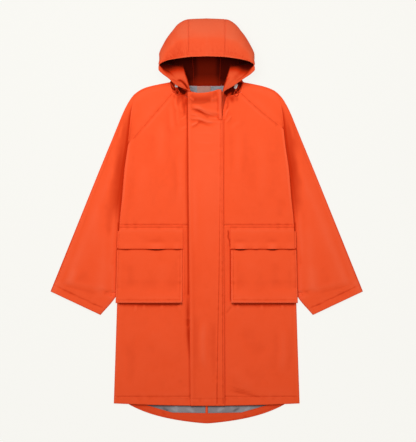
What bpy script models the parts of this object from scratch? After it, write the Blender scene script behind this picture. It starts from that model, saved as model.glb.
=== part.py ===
"""Hooded parka with raglan sleeves, laid face up with its hood open.

+Z is up from the surface it lies on, +Y runs from the hem to the hood, and +X is the
right of the view from above. Sizes in the tables are millimetres.
"""
import math

import bpy
import numpy as np
from mathutils import Vector

MM = 0.001

# Cloth and how its layers stack, from the surface up.
WALL = 1.5                # cloth of a panel, with its inner coating
THIN = 1.0                # facing, lining and tape that lie inside on a panel
PLACKET_WALL = 2.0        # the storm flap is two layers of cloth
SEAM = 0.3                # gap between two pieces at a seam, or where one rests on another
SLEEVE_LOW = 2 * WALL + SEAM              # top of the sleeve where it is pressed flat
MARGIN_LIFT = SLEEVE_LOW + SEAM           # underside of the back where it lies on a sleeve
FRONT_TOP = MARGIN_LIFT + 2 * WALL + SEAM
SLEEVE_LOFT = 3.5         # how far the sleeve's upper side stands above SLEEVE_LOW
POCKET_TOP = FRONT_TOP + 5.3
POCKET_MOUTH_TOP = FRONT_TOP + 2.5
SIDE_ROLL = 14.0          # the front rolls down to the side fold over this width
RAMP_START, RAMP_END = 20.0, 5.0          # the back climbs onto the sleeve between these
ON_BACK = WALL + SEAM + THIN              # top of a piece that lies inside on the back
SLEEVE_ROUND = 20.0       # the sleeve rises from its outer fold over this width
CREASE_VALLEY = 32.0      # and sinks towards the crease over this width
FOOT_AT_CREASE = 4.0      # the sunk part ends this far outside the crease

# The sleeve's lines have this many stations along the raglan seam, down to the crease's end.
CREASE_STATION = 7
# Points of the hood between one rib and the next, and along a rib.
RIB_SPANS = 2
RIB_STEPS = 15

# Lengths along the coat.
FRONT_HEM_SIDE = -601.6
FRONT_HEM_DIP = 7.5       # the front hem hangs this much lower at the centre
BACK_HEM_DROP = 66.0      # the back hem's curve below the front hem
BACK_HEM_HALF = 262.0     # half the width of that curve
FRONT_HEM_RISE = 60.0     # the front hem's curve dies out over this height
BACK_HEM_RISE = 90.0      # and the back hem's over this one
FACING_HALF = 258.0       # half the width of the back hem's facing
FACING_TOP = dict(x=[0, 117, 196, 258], y=[-634.5, -632.5, -612.0, -596.0])
LINING = dict(inner=4.4, outer=190.0, top=-590.0)
SKIRT_ROWS = [FRONT_HEM_SIDE, -572.0, -540.0, -500.0, -400.0, -300.0, -268.0, -255.0, -240.0, -215.0,
              -185.0, -140.0, -80.0]
WAIST_SEAM = -14.0
NAPE = 445.7
CUFF_OUTER = (510.0, -230.0)
CUFF_INNER = (349.5, -305.6)
ARM_DIRECTION = (0.376, -0.927)           # from the shoulder to the cuff, in plan

# The body's side fold, which is also the crease between body and sleeve.
SIDE_FOLD = [
    dict(y=-612.0, half=306.3), dict(y=-274.0, half=295.4), dict(y=-92.0, half=291.0),
    dict(y=0.0, half=287.0), dict(y=69.0, half=280.0), dict(y=173.0, half=271.0),
    dict(y=253.0, half=259.5), dict(y=310.0, half=253.5), dict(y=357.0, half=249.0),
    dict(y=398.0, half=241.5), dict(y=460.0, half=230.0),
]

# Where the raglan seam runs, and where it goes under the crease. The two sides lie a little
# differently, so each has its own rows.
RAGLAN_TOP = (112.4, 424.6)
SIDES = dict(
    left=dict(sign=-1, seam=[RAGLAN_TOP, (187.0, 338.0), (248.0, 267.0), (258.8, 253.0)],
              underarm=(232.0, 192.0)),
    right=dict(sign=1, seam=[RAGLAN_TOP, (181.0, 362.0), (244.5, 311.0), (252.6, 303.0)],
               underarm=(230.0, 236.0)),
)

# The shoulder and the sleeve's outer fold, from the neck to the cuff.
SLEEVE_OUTER = [
    dict(x=121.0, y=457.0), dict(x=165.0, y=448.5), dict(x=205.0, y=438.0),
    dict(x=229.0, y=425.0), dict(x=244.0, y=410.5), dict(x=259.0, y=388.5),
    dict(x=276.0, y=354.0), dict(x=301.0, y=292.0), dict(x=326.5, y=229.0),
    dict(x=351.0, y=168.0), dict(x=424.0, y=-15.0), dict(x=470.0, y=-130.0),
    dict(x=CUFF_OUTER[0], y=CUFF_OUTER[1]),
]
# The sleeve's inner fold below the underarm. It lies under the body down to y=-247.
SLEEVE_INNER = [
    dict(x=232.0, y=100.0), dict(x=241.0, y=0.0), dict(x=253.0, y=-100.0),
    dict(x=273.0, y=-185.0), dict(x=300.0, y=-247.0), dict(x=CUFF_INNER[0], y=CUFF_INNER[1]),
]

# The hood, as ribs from its front edge to the neck seam. Each rib is six places on its
# outer face, given for one side: edge, second, third, fourth, low and neck.
HOOD_RIBS = [
    dict(name="zip", edge=(0.3, 417, 35), second=(0.3, 403, 27.5), third=(0.3, 388, 21),
         fourth=(0.3, 371, 15.2), low=(0.3, 354, 10.3), neck=(0.3, 337.8, 6.9)),
    dict(name="throat", edge=(49, 426, 39), second=(50, 409, 31), third=(50, 392, 23.5),
         fourth=(50, 374, 16.5), low=(50, 356, 10.8), neck=(49.6, 338.7, 6.9)),
    dict(name="break", edge=(60, 431, 42), second=(56, 428, 42), third=(53, 420, 36),
         fourth=(53, 404, 26), low=(53, 385, 15), neck=(53.6, 364.0, 6.9)),
    dict(name="lapel", edge=(80, 441, 46), second=(68, 440, 46), third=(56, 438, 41),
         fourth=(60, 428, 27), low=(63, 418, 14), neck=(66.0, 409.5, 6.9)),
    dict(name="flank", edge=(121, 469, 60), second=(94, 470, 56), third=(65, 470, 47),
         fourth=(78, 457, 23), low=(90, 438, 10), neck=(100.0, 420.2, 6.9)),
    dict(name="shoulder", edge=(140, 484, 69), second=(107, 486, 60), third=(72, 489, 49),
         fourth=(83, 479, 22), low=(98, 457, 8), neck=(111.6, 425.4, 6.9)),
    dict(name="corner", edge=(158, 501, 78), second=(122, 504, 65), third=(79, 507, 50),
         fourth=(90, 500, 20), low=(106, 480, 6), neck=(118.4, 453.0, 3.6)),
    dict(name="bend", edge=(150, 518, 87), second=(159, 516, 75), third=(152, 522, 54),
         fourth=(122, 520, 19), low=(106, 505, 1.2), neck=(104, 449.0, 1.0)),
    dict(name="cheek", edge=(135, 527, 92), second=(149, 536, 86), third=(157, 548, 62),
         fourth=(132, 545, 18), low=(105, 533, 0), neck=(86, 446.3, 0)),
    dict(name="temple", edge=(108, 533, 97), second=(125, 566, 91), third=(139, 589, 59),
         fourth=(114, 580, 15), low=(90, 565, 0), neck=(68, 446.2, 0)),
    dict(name="brow", edge=(82, 537, 100.5), second=(98, 590, 94), third=(112, 627, 55),
         fourth=(90, 612, 12), low=(74, 592, 0), neck=(54, 446.1, 0)),
    dict(name="crest", edge=(70, 538.5, 102), second=(78, 598, 96), third=(88, 652, 53),
         fourth=(74, 634, 11), low=(62, 606, 0), neck=(48, 446, 0)),
    dict(name="seam", edge=(58, 540, 103), second=(60, 602, 97.5), third=(60, 665, 52),
         fourth=(56, 647, 10), low=(50, 614, 0), neck=(42, 446, 0)),
    dict(name="crown", edge=(0, 542, 105), second=(0, 606, 100), third=(0, 667.6, 50),
         fourth=(0, 653, 9), low=(0, 620, 0), neck=(0, 446, 0)),
]
RIB_PLACES = ("edge", "second", "third", "fourth", "low", "neck")

# The storm flap's two edges, and the height of its top face over the throat.
PLACKET = [
    dict(y=-609.5, left=-53.5, right=58.5), dict(y=-14.0, left=-58.5, right=55.0),
    dict(y=326.0, left=-61.3, right=52.8), dict(y=334.0, left=-61.5, right=52.5),
    dict(y=338.0, left=-61.6, right=40.5), dict(y=426.0, left=-62.0, right=39.0),
]
THROAT = [
    dict(y=-620.0, top=9.3), dict(y=310.0, top=9.3), dict(y=338.0, top=10.9),
    dict(y=354.0, top=15.2), dict(y=371.0, top=20.9), dict(y=388.0, top=28.3),
    dict(y=403.0, top=36.5), dict(y=417.0, top=44.5), dict(y=436.0, top=55.1),
]
# The flap's top edge runs up to the right by the slant, and sags between its corners.
FLAP_HEAD = dict(start=345.0, length=81.0, slant=8.0, sag=30.8)

# Folds across the throat: the flap drops by twice the step where it crosses each line.
THROAT_FOLDS = [
    dict(start=(-62, 398), end=(39, 402), width=8.0, step=2.6),
    dict(start=(-38, 372), end=(44, 348), width=6.0, step=1.8),
    dict(start=(-56, 337), end=(32, 322), width=6.0, step=0.9),
]

# Pockets and their flaps, by the corners of the visible patch.
POCKET = dict(inner=80.5, outer_top=294.0, outer_low=300.5, top=-34.0, bottom=-268.5, gusset=1.6)
POCKET_SLOPE = 90.0       # the pocket's face comes to its full height over this length
FLAP = dict(inner=78.5, bottom=-91.5, past_fold=2.0)
FLAP_ROWS = [-24.0, -34.0, -50.0, -70.0, FLAP["bottom"]]

# The drawcord's lock on each side, and the cord's own route round it.
LOCK = dict(width=12.0, length=17.0, depth=8.5, slot_width=7.4, slot_depth=3.4, edge=3.2)
CORD_DIAMETER = 2.4
STRAND = 1.9              # each strand's distance from the lock's middle
STRAND_PLACES = [-12.5, -8.5, 0.0, 8.5]   # through the lock, from its upper end to its lower
CORD_LOOP = [
    dict(along=14.5, across=1.9), dict(along=19.0, across=3.4), dict(along=23.0, across=6.0),
    dict(along=28.5, across=6.9), dict(along=33.5, across=4.0), dict(along=35.1, across=0.0),
]
CORDS = dict(
    left=dict(middle=(-99.0, 449.0, 21.0), heading=(0.1, -1.0, -0.35),
              ends=((-103.5, 461.5, 54.4), (-99.0, 459.5, 53.3))),
    right=dict(middle=(96.0, 444.5, 20.0), heading=(0.05, -1.0, -0.35),
               ends=((99.5, 459.0, 53.2), (95.0, 456.5, 51.9))),
)

# Flat pieces inside on the back, by their corners.
LABEL_WALL = 0.8
TAPE = dict(x0=-4.0, x1=4.0, y0=-634.2, y1=-590.0, top=ON_BACK, thickness=THIN)
NECK_LINING = dict(x0=-78.0, x1=78.0, y0=385.0, y1=445.0, top=ON_BACK, thickness=THIN)
LABEL = dict(x0=-29.5, x1=15.0, y0=402.0, y1=444.5, top=ON_BACK + SEAM + LABEL_WALL, thickness=LABEL_WALL)

ORANGE = (0.87, 0.12, 0.03, 1)
LINING_GREY = (0.40, 0.38, 0.40, 1)
LABEL_PINK = (0.72, 0.42, 0.36, 1)
LOCK_WHITE = (0.75, 0.74, 0.72, 1)


# ---- Curves and surfaces ----

def smooth_step(t):
    t = np.clip(t, 0, 1)
    return t * t * (3 - 2 * t)


def rounded(t):
    """A quarter round: 0 at an edge, 1 a full radius in from it."""
    return np.sqrt(1 - (1 - np.clip(t, 0, 1)) ** 2)


def through(known, values, at):
    """A smooth curve through values that never swings past them."""
    known, values = np.asarray(known, float), np.asarray(values, float)
    shape = values.shape[1:]
    values = values.reshape(len(known), -1)
    step = np.diff(known)[:, None]
    slope = np.diff(values, axis=0) / step
    tangent = np.zeros_like(values)
    same_way = slope[:-1] * slope[1:] > 0
    safe = np.where(same_way, slope[:-1] + slope[1:], 1)
    tangent[1:-1] = np.where(same_way, 2 * slope[:-1] * slope[1:] / safe, 0)
    tangent[0], tangent[-1] = slope[0], slope[-1]
    at = np.atleast_1d(np.asarray(at, float))
    k = np.clip(np.searchsorted(known, at) - 1, 0, len(known) - 2)
    h = step[k]
    t = ((at - known[k]) / (known[k + 1] - known[k]))[:, None]
    found = ((1 + 2 * t) * (1 - t) ** 2 * values[k] + t * (1 - t) ** 2 * h * tangent[k]
             + t * t * (3 - 2 * t) * values[k + 1] + t * t * (t - 1) * h * tangent[k + 1])
    return found.reshape((len(at),) + shape)


def column(table, name):
    return [row[name] for row in table]


def lookup(table, key, name, at):
    """A column of a table as a smooth function of its key column."""
    order = np.argsort(column(table, key))
    keys = np.array(column(table, key), float)[order]
    values = np.array(column(table, name), float)[order]
    at = np.clip(np.asarray(at, float), keys[0], keys[-1])
    return through(keys, values, at.ravel()).reshape(at.shape)


def lengths(points):
    """Distance along a line of points, from 0 to 1."""
    gone = np.concatenate([[0], np.cumsum(np.linalg.norm(np.diff(points, axis=0), axis=1))])
    return gone / gone[-1]


def material(name, colour, roughness):
    made = bpy.data.materials.new(name)
    made.use_nodes = True
    shader = made.node_tree.nodes["Principled BSDF"]
    shader.inputs["Base Color"].default_value = colour
    shader.inputs["Roughness"].default_value = roughness
    shader.inputs["Metallic"].default_value = 0.0
    return made


def wall(name, outer, inner, finish):
    """A closed wall of cloth between two grids of points, in millimetres."""
    rows, columns = outer.shape[:2]
    points = np.concatenate([outer.reshape(-1, 3), inner.reshape(-1, 3)]) * MM
    number = np.arange(rows * columns).reshape(rows, columns)
    behind = number + rows * columns
    faces = []
    for i in range(rows - 1):
        for j in range(columns - 1):
            faces.append((number[i, j], number[i, j + 1], number[i + 1, j + 1], number[i + 1, j]))
            faces.append((behind[i + 1, j], behind[i + 1, j + 1], behind[i, j + 1], behind[i, j]))
    rim = [(i, 0) for i in range(rows)] + [(rows - 1, j) for j in range(1, columns)]
    rim += [(i, columns - 1) for i in range(rows - 2, -1, -1)]
    rim += [(0, j) for j in range(columns - 2, 0, -1)]
    for a, b in zip(rim, rim[1:] + rim[:1]):
        faces.append((number[a], number[b], behind[b], behind[a]))
    mesh = bpy.data.meshes.new(name)
    mesh.from_pydata(points.tolist(), [], [tuple(int(v) for v in face) for face in faces])
    signed = sum(
        Vector(points[f[0]]).dot(Vector(points[f[1]]).cross(Vector(points[f[2]])))
        + Vector(points[f[0]]).dot(Vector(points[f[2]]).cross(Vector(points[f[3]])))
        for f in faces)
    if signed < 0:
        mesh.flip_normals()
    mesh.shade_smooth()
    mesh.set_sharp_from_angle(angle=math.radians(50))
    made = bpy.data.objects.new(name, mesh)
    bpy.context.scene.collection.objects.link(made)
    mesh.materials.append(finish)
    return made


def sheet(name, plan, top, thickness, finish, side=1):
    """A wall whose plan is a grid of (x, y) and whose top face has the given heights."""
    outer = np.dstack([plan[..., 0] * side, plan[..., 1], top])
    inner = outer - np.array([0, 0, thickness])
    return wall(name, outer, inner, finish)


def fan(inner_line, outer_line, shares):
    """A plan grid of straight rows from one line of points to the other, point by point."""
    start, end = np.array(inner_line, float), np.array(outer_line, float)
    shares = np.asarray(shares, float)[None, :, None]
    return start[:, None] * (1 - shares) + end[:, None] * shares


# ---- How the layers lie ----

def hidden_fold(side):
    """The sleeve's inner fold under the body, as x for each y, past both of its ends."""
    crease_end, underarm = side["seam"][-1], side["underarm"]
    rows = [dict(y=crease_end[1] + 16, x=crease_end[0] + 34), dict(y=crease_end[1] + 4, x=crease_end[0]),
            dict(y=underarm[1], x=underarm[0])]
    rows += [dict(row) for row in SLEEVE_INNER[:-1]]
    return rows + [dict(y=-268.0, x=330.0)]


def side_edge(y):
    return lookup(SIDE_FOLD, "y", "half", y)


def lift(side, x, y):
    """How far the body's back is raised where a sleeve lies under its margin."""
    return MARGIN_LIFT * smooth_step((x - lookup(hidden_fold(side), "y", "x", y) + RAMP_START)
                                     / (RAMP_START - RAMP_END))


def front_top(side, x, y):
    """Height of the front's top face: level, and rolled down to the back at the side fold."""
    low = SLEEVE_LOW + lift(side, x, y)
    above_crease = y > side["seam"][-1][1] - 2 * SEAM
    roll = np.where(above_crease, 1.0, rounded((side_edge(y) - x) / SIDE_ROLL))
    return low + (FRONT_TOP - low) * roll


def body_columns(side, y):
    """Where the body's panels have their points across a row, from the centre to the fold."""
    edge = side_edge(y)
    fold = np.minimum(lookup(hidden_fold(side), "y", "x", y), edge - SIDE_ROLL)
    ramp = fold - RAMP_START
    places = [np.full_like(edge, SEAM / 2), ramp * 0.45, ramp, fold - (RAMP_START + RAMP_END) / 2,
              fold - RAMP_END, edge - 0.45 * SIDE_ROLL, edge - 0.12 * SIDE_ROLL, edge]
    return np.stack(places, axis=-1)


def body_rows(side):
    """The rows of the body's panels above the waist seam, up to where the crease ends."""
    crease_end, underarm = side["seam"][-1], side["underarm"]
    between = [underarm[1] + (crease_end[1] - SEAM - underarm[1]) * s for s in (0.45, 0.8, 1)]
    return [60.0, 130.0, underarm[1]] + between


def column_shares(side):
    """The columns of a panel's last straight row, as shares of its width."""
    columns = body_columns(side, np.array(side["seam"][-1][1] - SEAM))
    return (columns - columns[0]) / (columns[-1] - columns[0])


def raglan_line(side, count):
    """The body's edge along the raglan seam, from above the crease to near the neck."""
    seam = np.array(side["seam"])[::-1] - SEAM
    return through(lengths(seam), seam, np.linspace(0, 1, count + 1)[1:])


# ---- Panels of the body ----

def back_panel(name, side, finish):
    """Half of the back, on the surface in the middle and on the sleeve at its margin."""
    y_rows = np.array(SKIRT_ROWS + [WAIST_SEAM] + body_rows(side))
    x = body_columns(side, y_rows)
    x[-1, -1] = side["seam"][-1][0] - SEAM
    y = np.repeat(y_rows[:, None], x.shape[1], axis=1)
    hem = smooth_step((FRONT_HEM_SIDE + BACK_HEM_RISE - y) / BACK_HEM_RISE)
    y = y - hem * BACK_HEM_DROP * np.clip(1 - (x / BACK_HEM_HALF) ** 2, 0, 1)
    shares = column_shares(side)
    seam = raglan_line(side, CREASE_STATION)
    start = np.column_stack([np.full(len(seam), SEAM / 2), np.linspace(y_rows[-1], NAPE, len(seam) + 1)[1:]])
    upper = fan(start, seam, shares)
    to_neck = np.linspace(0, 1, len(seam))[:, None] ** 3
    upper[..., 1] += to_neck * (1 - shares ** 3) * (NAPE - upper[..., 1])
    plan = np.concatenate([np.dstack([x, y]), upper])
    top = WALL + lift(side, plan[..., 0], plan[..., 1])
    return sheet(name, plan, top, WALL, finish, side["sign"])


def upper_front(name, side, finish):
    """Front from the waist seam to the neck, its outer edge the side fold and raglan seam."""
    y_rows = np.array([WAIST_SEAM] + body_rows(side))
    x = body_columns(side, y_rows)
    x[-1, -1] = side["seam"][-1][0] - SEAM
    low = np.dstack([x, np.repeat(y_rows[:, None], x.shape[1], axis=1)])
    neck = neck_points()
    along = np.gradient(neck, axis=0)
    along /= np.linalg.norm(along, axis=1, keepdims=True)
    neck += 2 * SEAM * np.column_stack([along[:, 1], -along[:, 0]])
    neck[0, 0] = SEAM / 2
    neck[-1] -= 3 * SEAM
    middle = (SEAM / 2, (y_rows[-1] + neck[0, 1]) / 2)
    inner = np.concatenate([[middle], neck])
    upper = fan(inner, raglan_line(side, len(inner)), column_shares(side))
    plan = np.concatenate([low, upper])
    return sheet(name, plan, front_top(side, plan[..., 0], plan[..., 1]), WALL, finish, side["sign"])


def lower_front(name, side, finish):
    """Front from the waist seam to the hem."""
    y_rows = np.array(SKIRT_ROWS + [WAIST_SEAM - SEAM])
    x = body_columns(side, y_rows)
    y = np.repeat(y_rows[:, None], x.shape[1], axis=1)
    dip = smooth_step((FRONT_HEM_SIDE + FRONT_HEM_RISE - y) / FRONT_HEM_RISE)
    y = y - FRONT_HEM_DIP * dip * (1 - (x / x[:, -1:]) ** 2)
    plan = np.dstack([x, y])
    return sheet(name, plan, front_top(side, x, y), WALL, finish, side["sign"])


# ---- Sleeves ----

def sleeve_lines(side):
    """The sleeve's outer and inner lines, paired station by station from neck to cuff."""
    seam = np.array(side["seam"])
    seam = through(lengths(seam), seam, np.linspace(0, 1, CREASE_STATION + 1))
    inner = [tuple(p) for p in seam] + [side["underarm"]]
    inner += [(row["x"], row["y"]) for row in SLEEVE_INNER]
    outer_line = np.array([[row["x"], row["y"]] for row in SLEEVE_OUTER])
    crease_end = side["seam"][-1]
    whole = lengths(outer_line)

    def outer_at(share):
        return through(whole, outer_line, [share])[0]

    def level_with(point):
        """The share of the outer line that lies across the arm from an inner point."""
        shares = np.linspace(0.1, 1, 400)
        found = through(whole, outer_line, shares)
        return shares[np.argmin(np.abs((found - np.array(point)) @ np.array(ARM_DIRECTION)))]

    at_crease_end = level_with(crease_end)
    shares = list(np.linspace(0, at_crease_end, CREASE_STATION + 1))
    shares += [level_with(p) for p in inner[CREASE_STATION + 1:-2]] + [0.955, 1.0]
    return np.array([outer_at(s) for s in shares]), np.array(inner)


def crease_share(start, end):
    """Where a row across the sleeve meets the crease: 0 at its outer end, 1 at its inner."""
    shares = np.linspace(0, 1, 201)
    points = start + (end - start) * shares[:, None]
    outside = points[:, 0] > side_edge(points[:, 1])
    return float(np.clip(shares[np.argmin(outside)] if not outside.all() else 0.93, 0.05, 0.995))


def sleeve_rows(side, rows, low_columns, high_columns):
    """Plan grid of a sleeve whose columns follow the crease, and the heights of its top face."""
    outer_line, inner_line = sleeve_lines(side)
    station = np.linspace(0, len(outer_line) - 1, rows + 1)
    numbers = np.arange(len(outer_line))
    starts, ends = through(numbers, outer_line, station), through(numbers, inner_line, station)
    plan, top = [], []
    for number, start, end in zip(station, starts, ends):
        share = crease_share(start, end)
        long = np.linalg.norm(end - start)
        foot = max(share - FOOT_AT_CREASE / long, share * 0.7)
        shares = np.concatenate([foot * low_columns, share + (1 - share) * high_columns])
        spots = start + (end - start) * shares[:, None]
        dip = smooth_step((398 - spots[:, 1]) / 45)
        from_fold = rounded(shares * long / SLEEVE_ROUND)
        from_crease = rounded(np.maximum(foot - shares, 0) * long / CREASE_VALLEY)
        arm = SLEEVE_LOW + SLEEVE_LOFT * from_fold * (1 - dip * (1 - from_crease))
        beyond = smooth_step((CREASE_STATION - number) * 2)
        cap = SLEEVE_LOW + (FRONT_TOP - SLEEVE_LOW) * beyond * from_fold
        plan.append(spots)
        top.append(np.where(shares > foot + 1e-9, cap, arm))
    return np.array(plan), np.array(top)


def sleeve_front(name, side, finish):
    low = np.array([0, 0.07, 0.18, 0.38, 0.6, 0.8, 1])
    high = np.array([0, 0.33, 0.66, 1])
    plan, top = sleeve_rows(side, 28, low, high)
    return sheet(name, plan, top, WALL, finish, side["sign"])


def sleeve_back(name, side, finish):
    plan, _ = sleeve_rows(side, 14, np.array([0, 0.5, 1]), np.array([0.5, 1]))
    return sheet(name, plan, np.full(plan.shape[:2], WALL), WALL, finish, side["sign"])


# ---- Storm flap, pockets and flaps ----

def storm_flap(name, finish):
    y_rows = np.concatenate([[PLACKET[0]["y"], -300, WAIST_SEAM, 200, 285], np.linspace(300, 334, 5),
                             np.linspace(338, PLACKET[-1]["y"], 11)])
    across = np.linspace(0, 1, 7)
    left = lookup(PLACKET, "y", "left", y_rows)[:, None]
    right = lookup(PLACKET, "y", "right", y_rows)[:, None]
    x = left + (right - left) * across
    y = np.repeat(y_rows[:, None], len(across), axis=1)
    head = smooth_step((y - FLAP_HEAD["start"]) / FLAP_HEAD["length"])
    y = y + head * (FLAP_HEAD["slant"] * across - FLAP_HEAD["sag"] * across * (1 - across))
    top = lookup(THROAT, "y", "top", y)
    for fold in THROAT_FOLDS:
        (x0, y0), (x1, y1) = fold["start"], fold["end"]
        span = math.hypot(x1 - x0, y1 - y0)
        above = ((x1 - x0) * (y - y0) - (y1 - y0) * (x - x0)) / span / fold["width"]
        along = ((x1 - x0) * (x - x0) + (y1 - y0) * (y - y0)) / span ** 2
        fade = smooth_step((along + 0.25) / 0.3) * smooth_step((1.25 - along) / 0.3)
        top = top + fold["step"] * fade * above * np.exp(0.5 - above ** 2 / 2)
    top = np.maximum(top, THROAT[0]["top"])
    return sheet(name, np.dstack([x, y]), top, PLACKET_WALL, finish)


def pocket_face(y):
    """Height of the pocket's face, which stands less high at its mouth."""
    rise = smooth_step((POCKET["top"] - y) / POCKET_SLOPE)
    return POCKET_MOUTH_TOP + (POCKET_TOP - POCKET_MOUTH_TOP) * rise


def pocket(name, side, finish):
    """A patch on a bellows: a face that a gusset at its sides and bottom stands off the front."""
    gusset = POCKET["gusset"]

    def shell(inset):
        y_rows = np.concatenate([np.linspace(POCKET["top"], POCKET["bottom"] + gusset + inset, 6),
                                 [POCKET["bottom"] + inset]])
        grid = []
        for i, y in enumerate(y_rows):
            down = (POCKET["top"] - y) / (POCKET["top"] - POCKET["bottom"])
            outer = POCKET["outer_top"] + (POCKET["outer_low"] - POCKET["outer_top"]) * down
            feet = [POCKET["inner"] + inset, outer - inset]
            rims = np.linspace(feet[0] + gusset, feet[1] - gusset, 5)
            face, foot = pocket_face(y) - inset, FRONT_TOP + SEAM
            last = i == len(y_rows) - 1
            ends = (feet[0] + 0.3 * gusset, feet[1] - 0.3 * gusset) if last else feet
            y_end = y + 0.3 * gusset if last else y
            row = [(ends[0], y_end, foot)] + [(x, y, foot if last else face) for x in rims]
            grid.append(row + [(ends[1], y_end, foot)])
        return np.array(grid) * [side["sign"], 1, 1]

    return wall(name, shell(0.0), shell(WALL), finish)


def flap(name, side, finish):
    y_rows = np.array([WAIST_SEAM - SEAM] + FLAP_ROWS)
    across = np.linspace(0, 1, 6)
    edge = side_edge(y_rows) + FLAP["past_fold"] * smooth_step((WAIST_SEAM - y_rows) / 60)
    x = FLAP["inner"] + (edge[:, None] - FLAP["inner"]) * across
    y = np.repeat(y_rows[:, None], len(across), axis=1)
    on_front = FRONT_TOP + SEAM + WALL
    top = on_front + (pocket_face(y) + 2 * SEAM + WALL - on_front) * smooth_step((WAIST_SEAM - y) / 19)
    return sheet(name, np.dstack([x, y]), top, WALL, finish, side["sign"])


# ---- Hood ----

def hood_ribs():
    return np.array([[row[place] for place in RIB_PLACES] for row in HOOD_RIBS], float)


def neck_points():
    """The front's stretch of the neck seam, from the zip to the raglan seam, in plan."""
    ribs = hood_ribs()
    last = column(HOOD_RIBS, "name").index("shoulder")
    at = np.linspace(0, last, last * RIB_SPANS + 1)
    return through(np.arange(len(ribs)), ribs[:, -1, :2], at)


def hood_faces():
    """Half of the hood's outer face, rib by rib from the zip to the crown, and its inner face."""
    ribs = hood_ribs()
    at = np.linspace(0, len(ribs) - 1, (len(ribs) - 1) * RIB_SPANS + 1)
    steps = np.linspace(0, len(RIB_PLACES) - 1, RIB_STEPS + 1)
    between = through(np.arange(len(ribs)), ribs, at)
    outer = np.array([through(np.arange(len(RIB_PLACES)), rib, steps) for rib in between])
    inward = np.cross(np.gradient(outer, axis=0), np.gradient(outer, axis=1))
    inward[-1, :, 0] = 0
    inward /= np.maximum(np.linalg.norm(inward, axis=2, keepdims=True), 1e-9)
    inner = outer + inward * WALL
    inner[..., 2] = np.maximum(inner[..., 2], 0.4)
    return outer, inner


def mirrored(grid):
    return grid * [-1, 1, 1]


def hood_side(name, side, finish):
    outer, inner = hood_faces()
    last = column(HOOD_RIBS, "name").index("seam") * RIB_SPANS
    outer, inner = outer[:last + 1].copy(), inner[:last + 1].copy()
    outer[-1, :, 0] += 2 * SEAM
    inner[-1, :, 0] += 2 * SEAM
    if side["sign"] < 0:
        outer, inner = mirrored(outer), mirrored(inner)
    return wall(name, outer, inner, finish)


def hood_centre(name, finish):
    outer, inner = hood_faces()
    first = column(HOOD_RIBS, "name").index("seam") * RIB_SPANS
    whole = [np.concatenate([mirrored(face[first:]), face[first:-1][::-1]]) for face in (outer, inner)]
    return wall(name, *whole, finish)


# ---- Inside of the back, where it shows ----

def hem_facing(name, finish):
    x = np.linspace(-FACING_HALF, FACING_HALF, 15)
    low = FRONT_HEM_SIDE - (BACK_HEM_DROP - 2 * SEAM) * (1 - (x / BACK_HEM_HALF) ** 2)
    high = np.interp(np.abs(x), FACING_TOP["x"], FACING_TOP["y"])
    plan = np.dstack([np.array([x, x, x]), np.array([low, (low + high) / 2, np.maximum(high, low + 4)])])
    return sheet(name, plan, np.full(plan.shape[:2], ON_BACK), THIN, finish)


def hem_lining(name, sign, finish):
    x = np.linspace(LINING["inner"], LINING["outer"], 8)
    low = np.interp(x, FACING_TOP["x"], FACING_TOP["y"]) + 2 * SEAM
    plan = np.dstack([np.array([x, x]), np.array([low, np.full(len(x), LINING["top"])])])
    return sheet(name, plan, np.full(plan.shape[:2], ON_BACK), THIN, finish, sign)


def flat_patch(name, x0, x1, y0, y1, top, thickness, finish):
    plan = np.dstack(np.meshgrid([x0, x1], [y0, y1]))
    return sheet(name, plan, np.full((2, 2), float(top)), thickness, finish)


# ---- Drawcord ----

def cord_line(middle, heading, ends):
    """The cord's route: from the hood's edge through the lock, round its loop and back.
    middle is the lock's centre, heading its direction in plan and slope, ends the two exits."""
    along = Vector(heading).normalized()
    across = Vector((0, 0, 1)).cross(along).normalized()
    centre = Vector(middle)
    down = [centre + along * a + across * STRAND for a in STRAND_PLACES]
    turn = [centre + along * row["along"] + across * row["across"] for row in CORD_LOOP]
    back = [centre + along * row["along"] - across * row["across"] for row in CORD_LOOP[-2::-1]]
    up = [centre + along * a - across * STRAND for a in reversed(STRAND_PLACES)]
    points = [Vector(ends[0])] + down + turn + back + up + [Vector(ends[1])]
    return np.array([tuple(p) for p in points])


def cord(name, points, finish):
    share = lengths(points)
    total = np.linalg.norm(np.diff(points, axis=0), axis=1).sum()
    line = through(share, points, np.linspace(0, 1, int(total / (2 * CORD_DIAMETER)) + 8)) * MM
    curve = bpy.data.curves.new(name, "CURVE")
    curve.dimensions = "3D"
    curve.bevel_depth = CORD_DIAMETER / 2 * MM
    curve.bevel_resolution = 2
    curve.use_fill_caps = True
    spline = curve.splines.new("POLY")
    spline.points.add(len(line) - 1)
    for point, place in zip(spline.points, line):
        point.co = (*place, 1)
    curve.materials.append(finish)
    made = bpy.data.objects.new(name, curve)
    bpy.context.scene.collection.objects.link(made)
    return made


def cord_lock(name, middle, heading, finish):
    """A barrel lock with rounded edges and a slot that both strands pass through."""
    along = Vector(heading).normalized()
    turn = along.to_track_quat("Y", "Z").to_euler()

    def block(label, size):
        bpy.ops.mesh.primitive_cube_add(size=1, location=Vector(middle) * MM, rotation=turn)
        made = bpy.context.object
        made.name = label
        made.scale = [s * MM for s in size]
        bpy.ops.object.transform_apply(location=False, rotation=False, scale=True)
        return made

    body = block(name, (LOCK["width"], LOCK["length"], LOCK["depth"]))
    round_off = body.modifiers.new("round", "BEVEL")
    round_off.width = LOCK["edge"] * MM
    round_off.segments = 2
    cutter = block(name + "_slot", (LOCK["slot_width"], LOCK["length"] + 8, LOCK["slot_depth"]))
    cutter.hide_render = True
    cutter.display_type = "WIRE"
    cut = body.modifiers.new("slot", "BOOLEAN")
    cut.operation = "DIFFERENCE"
    cut.object = cutter
    body.data.materials.append(finish)
    return body


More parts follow.
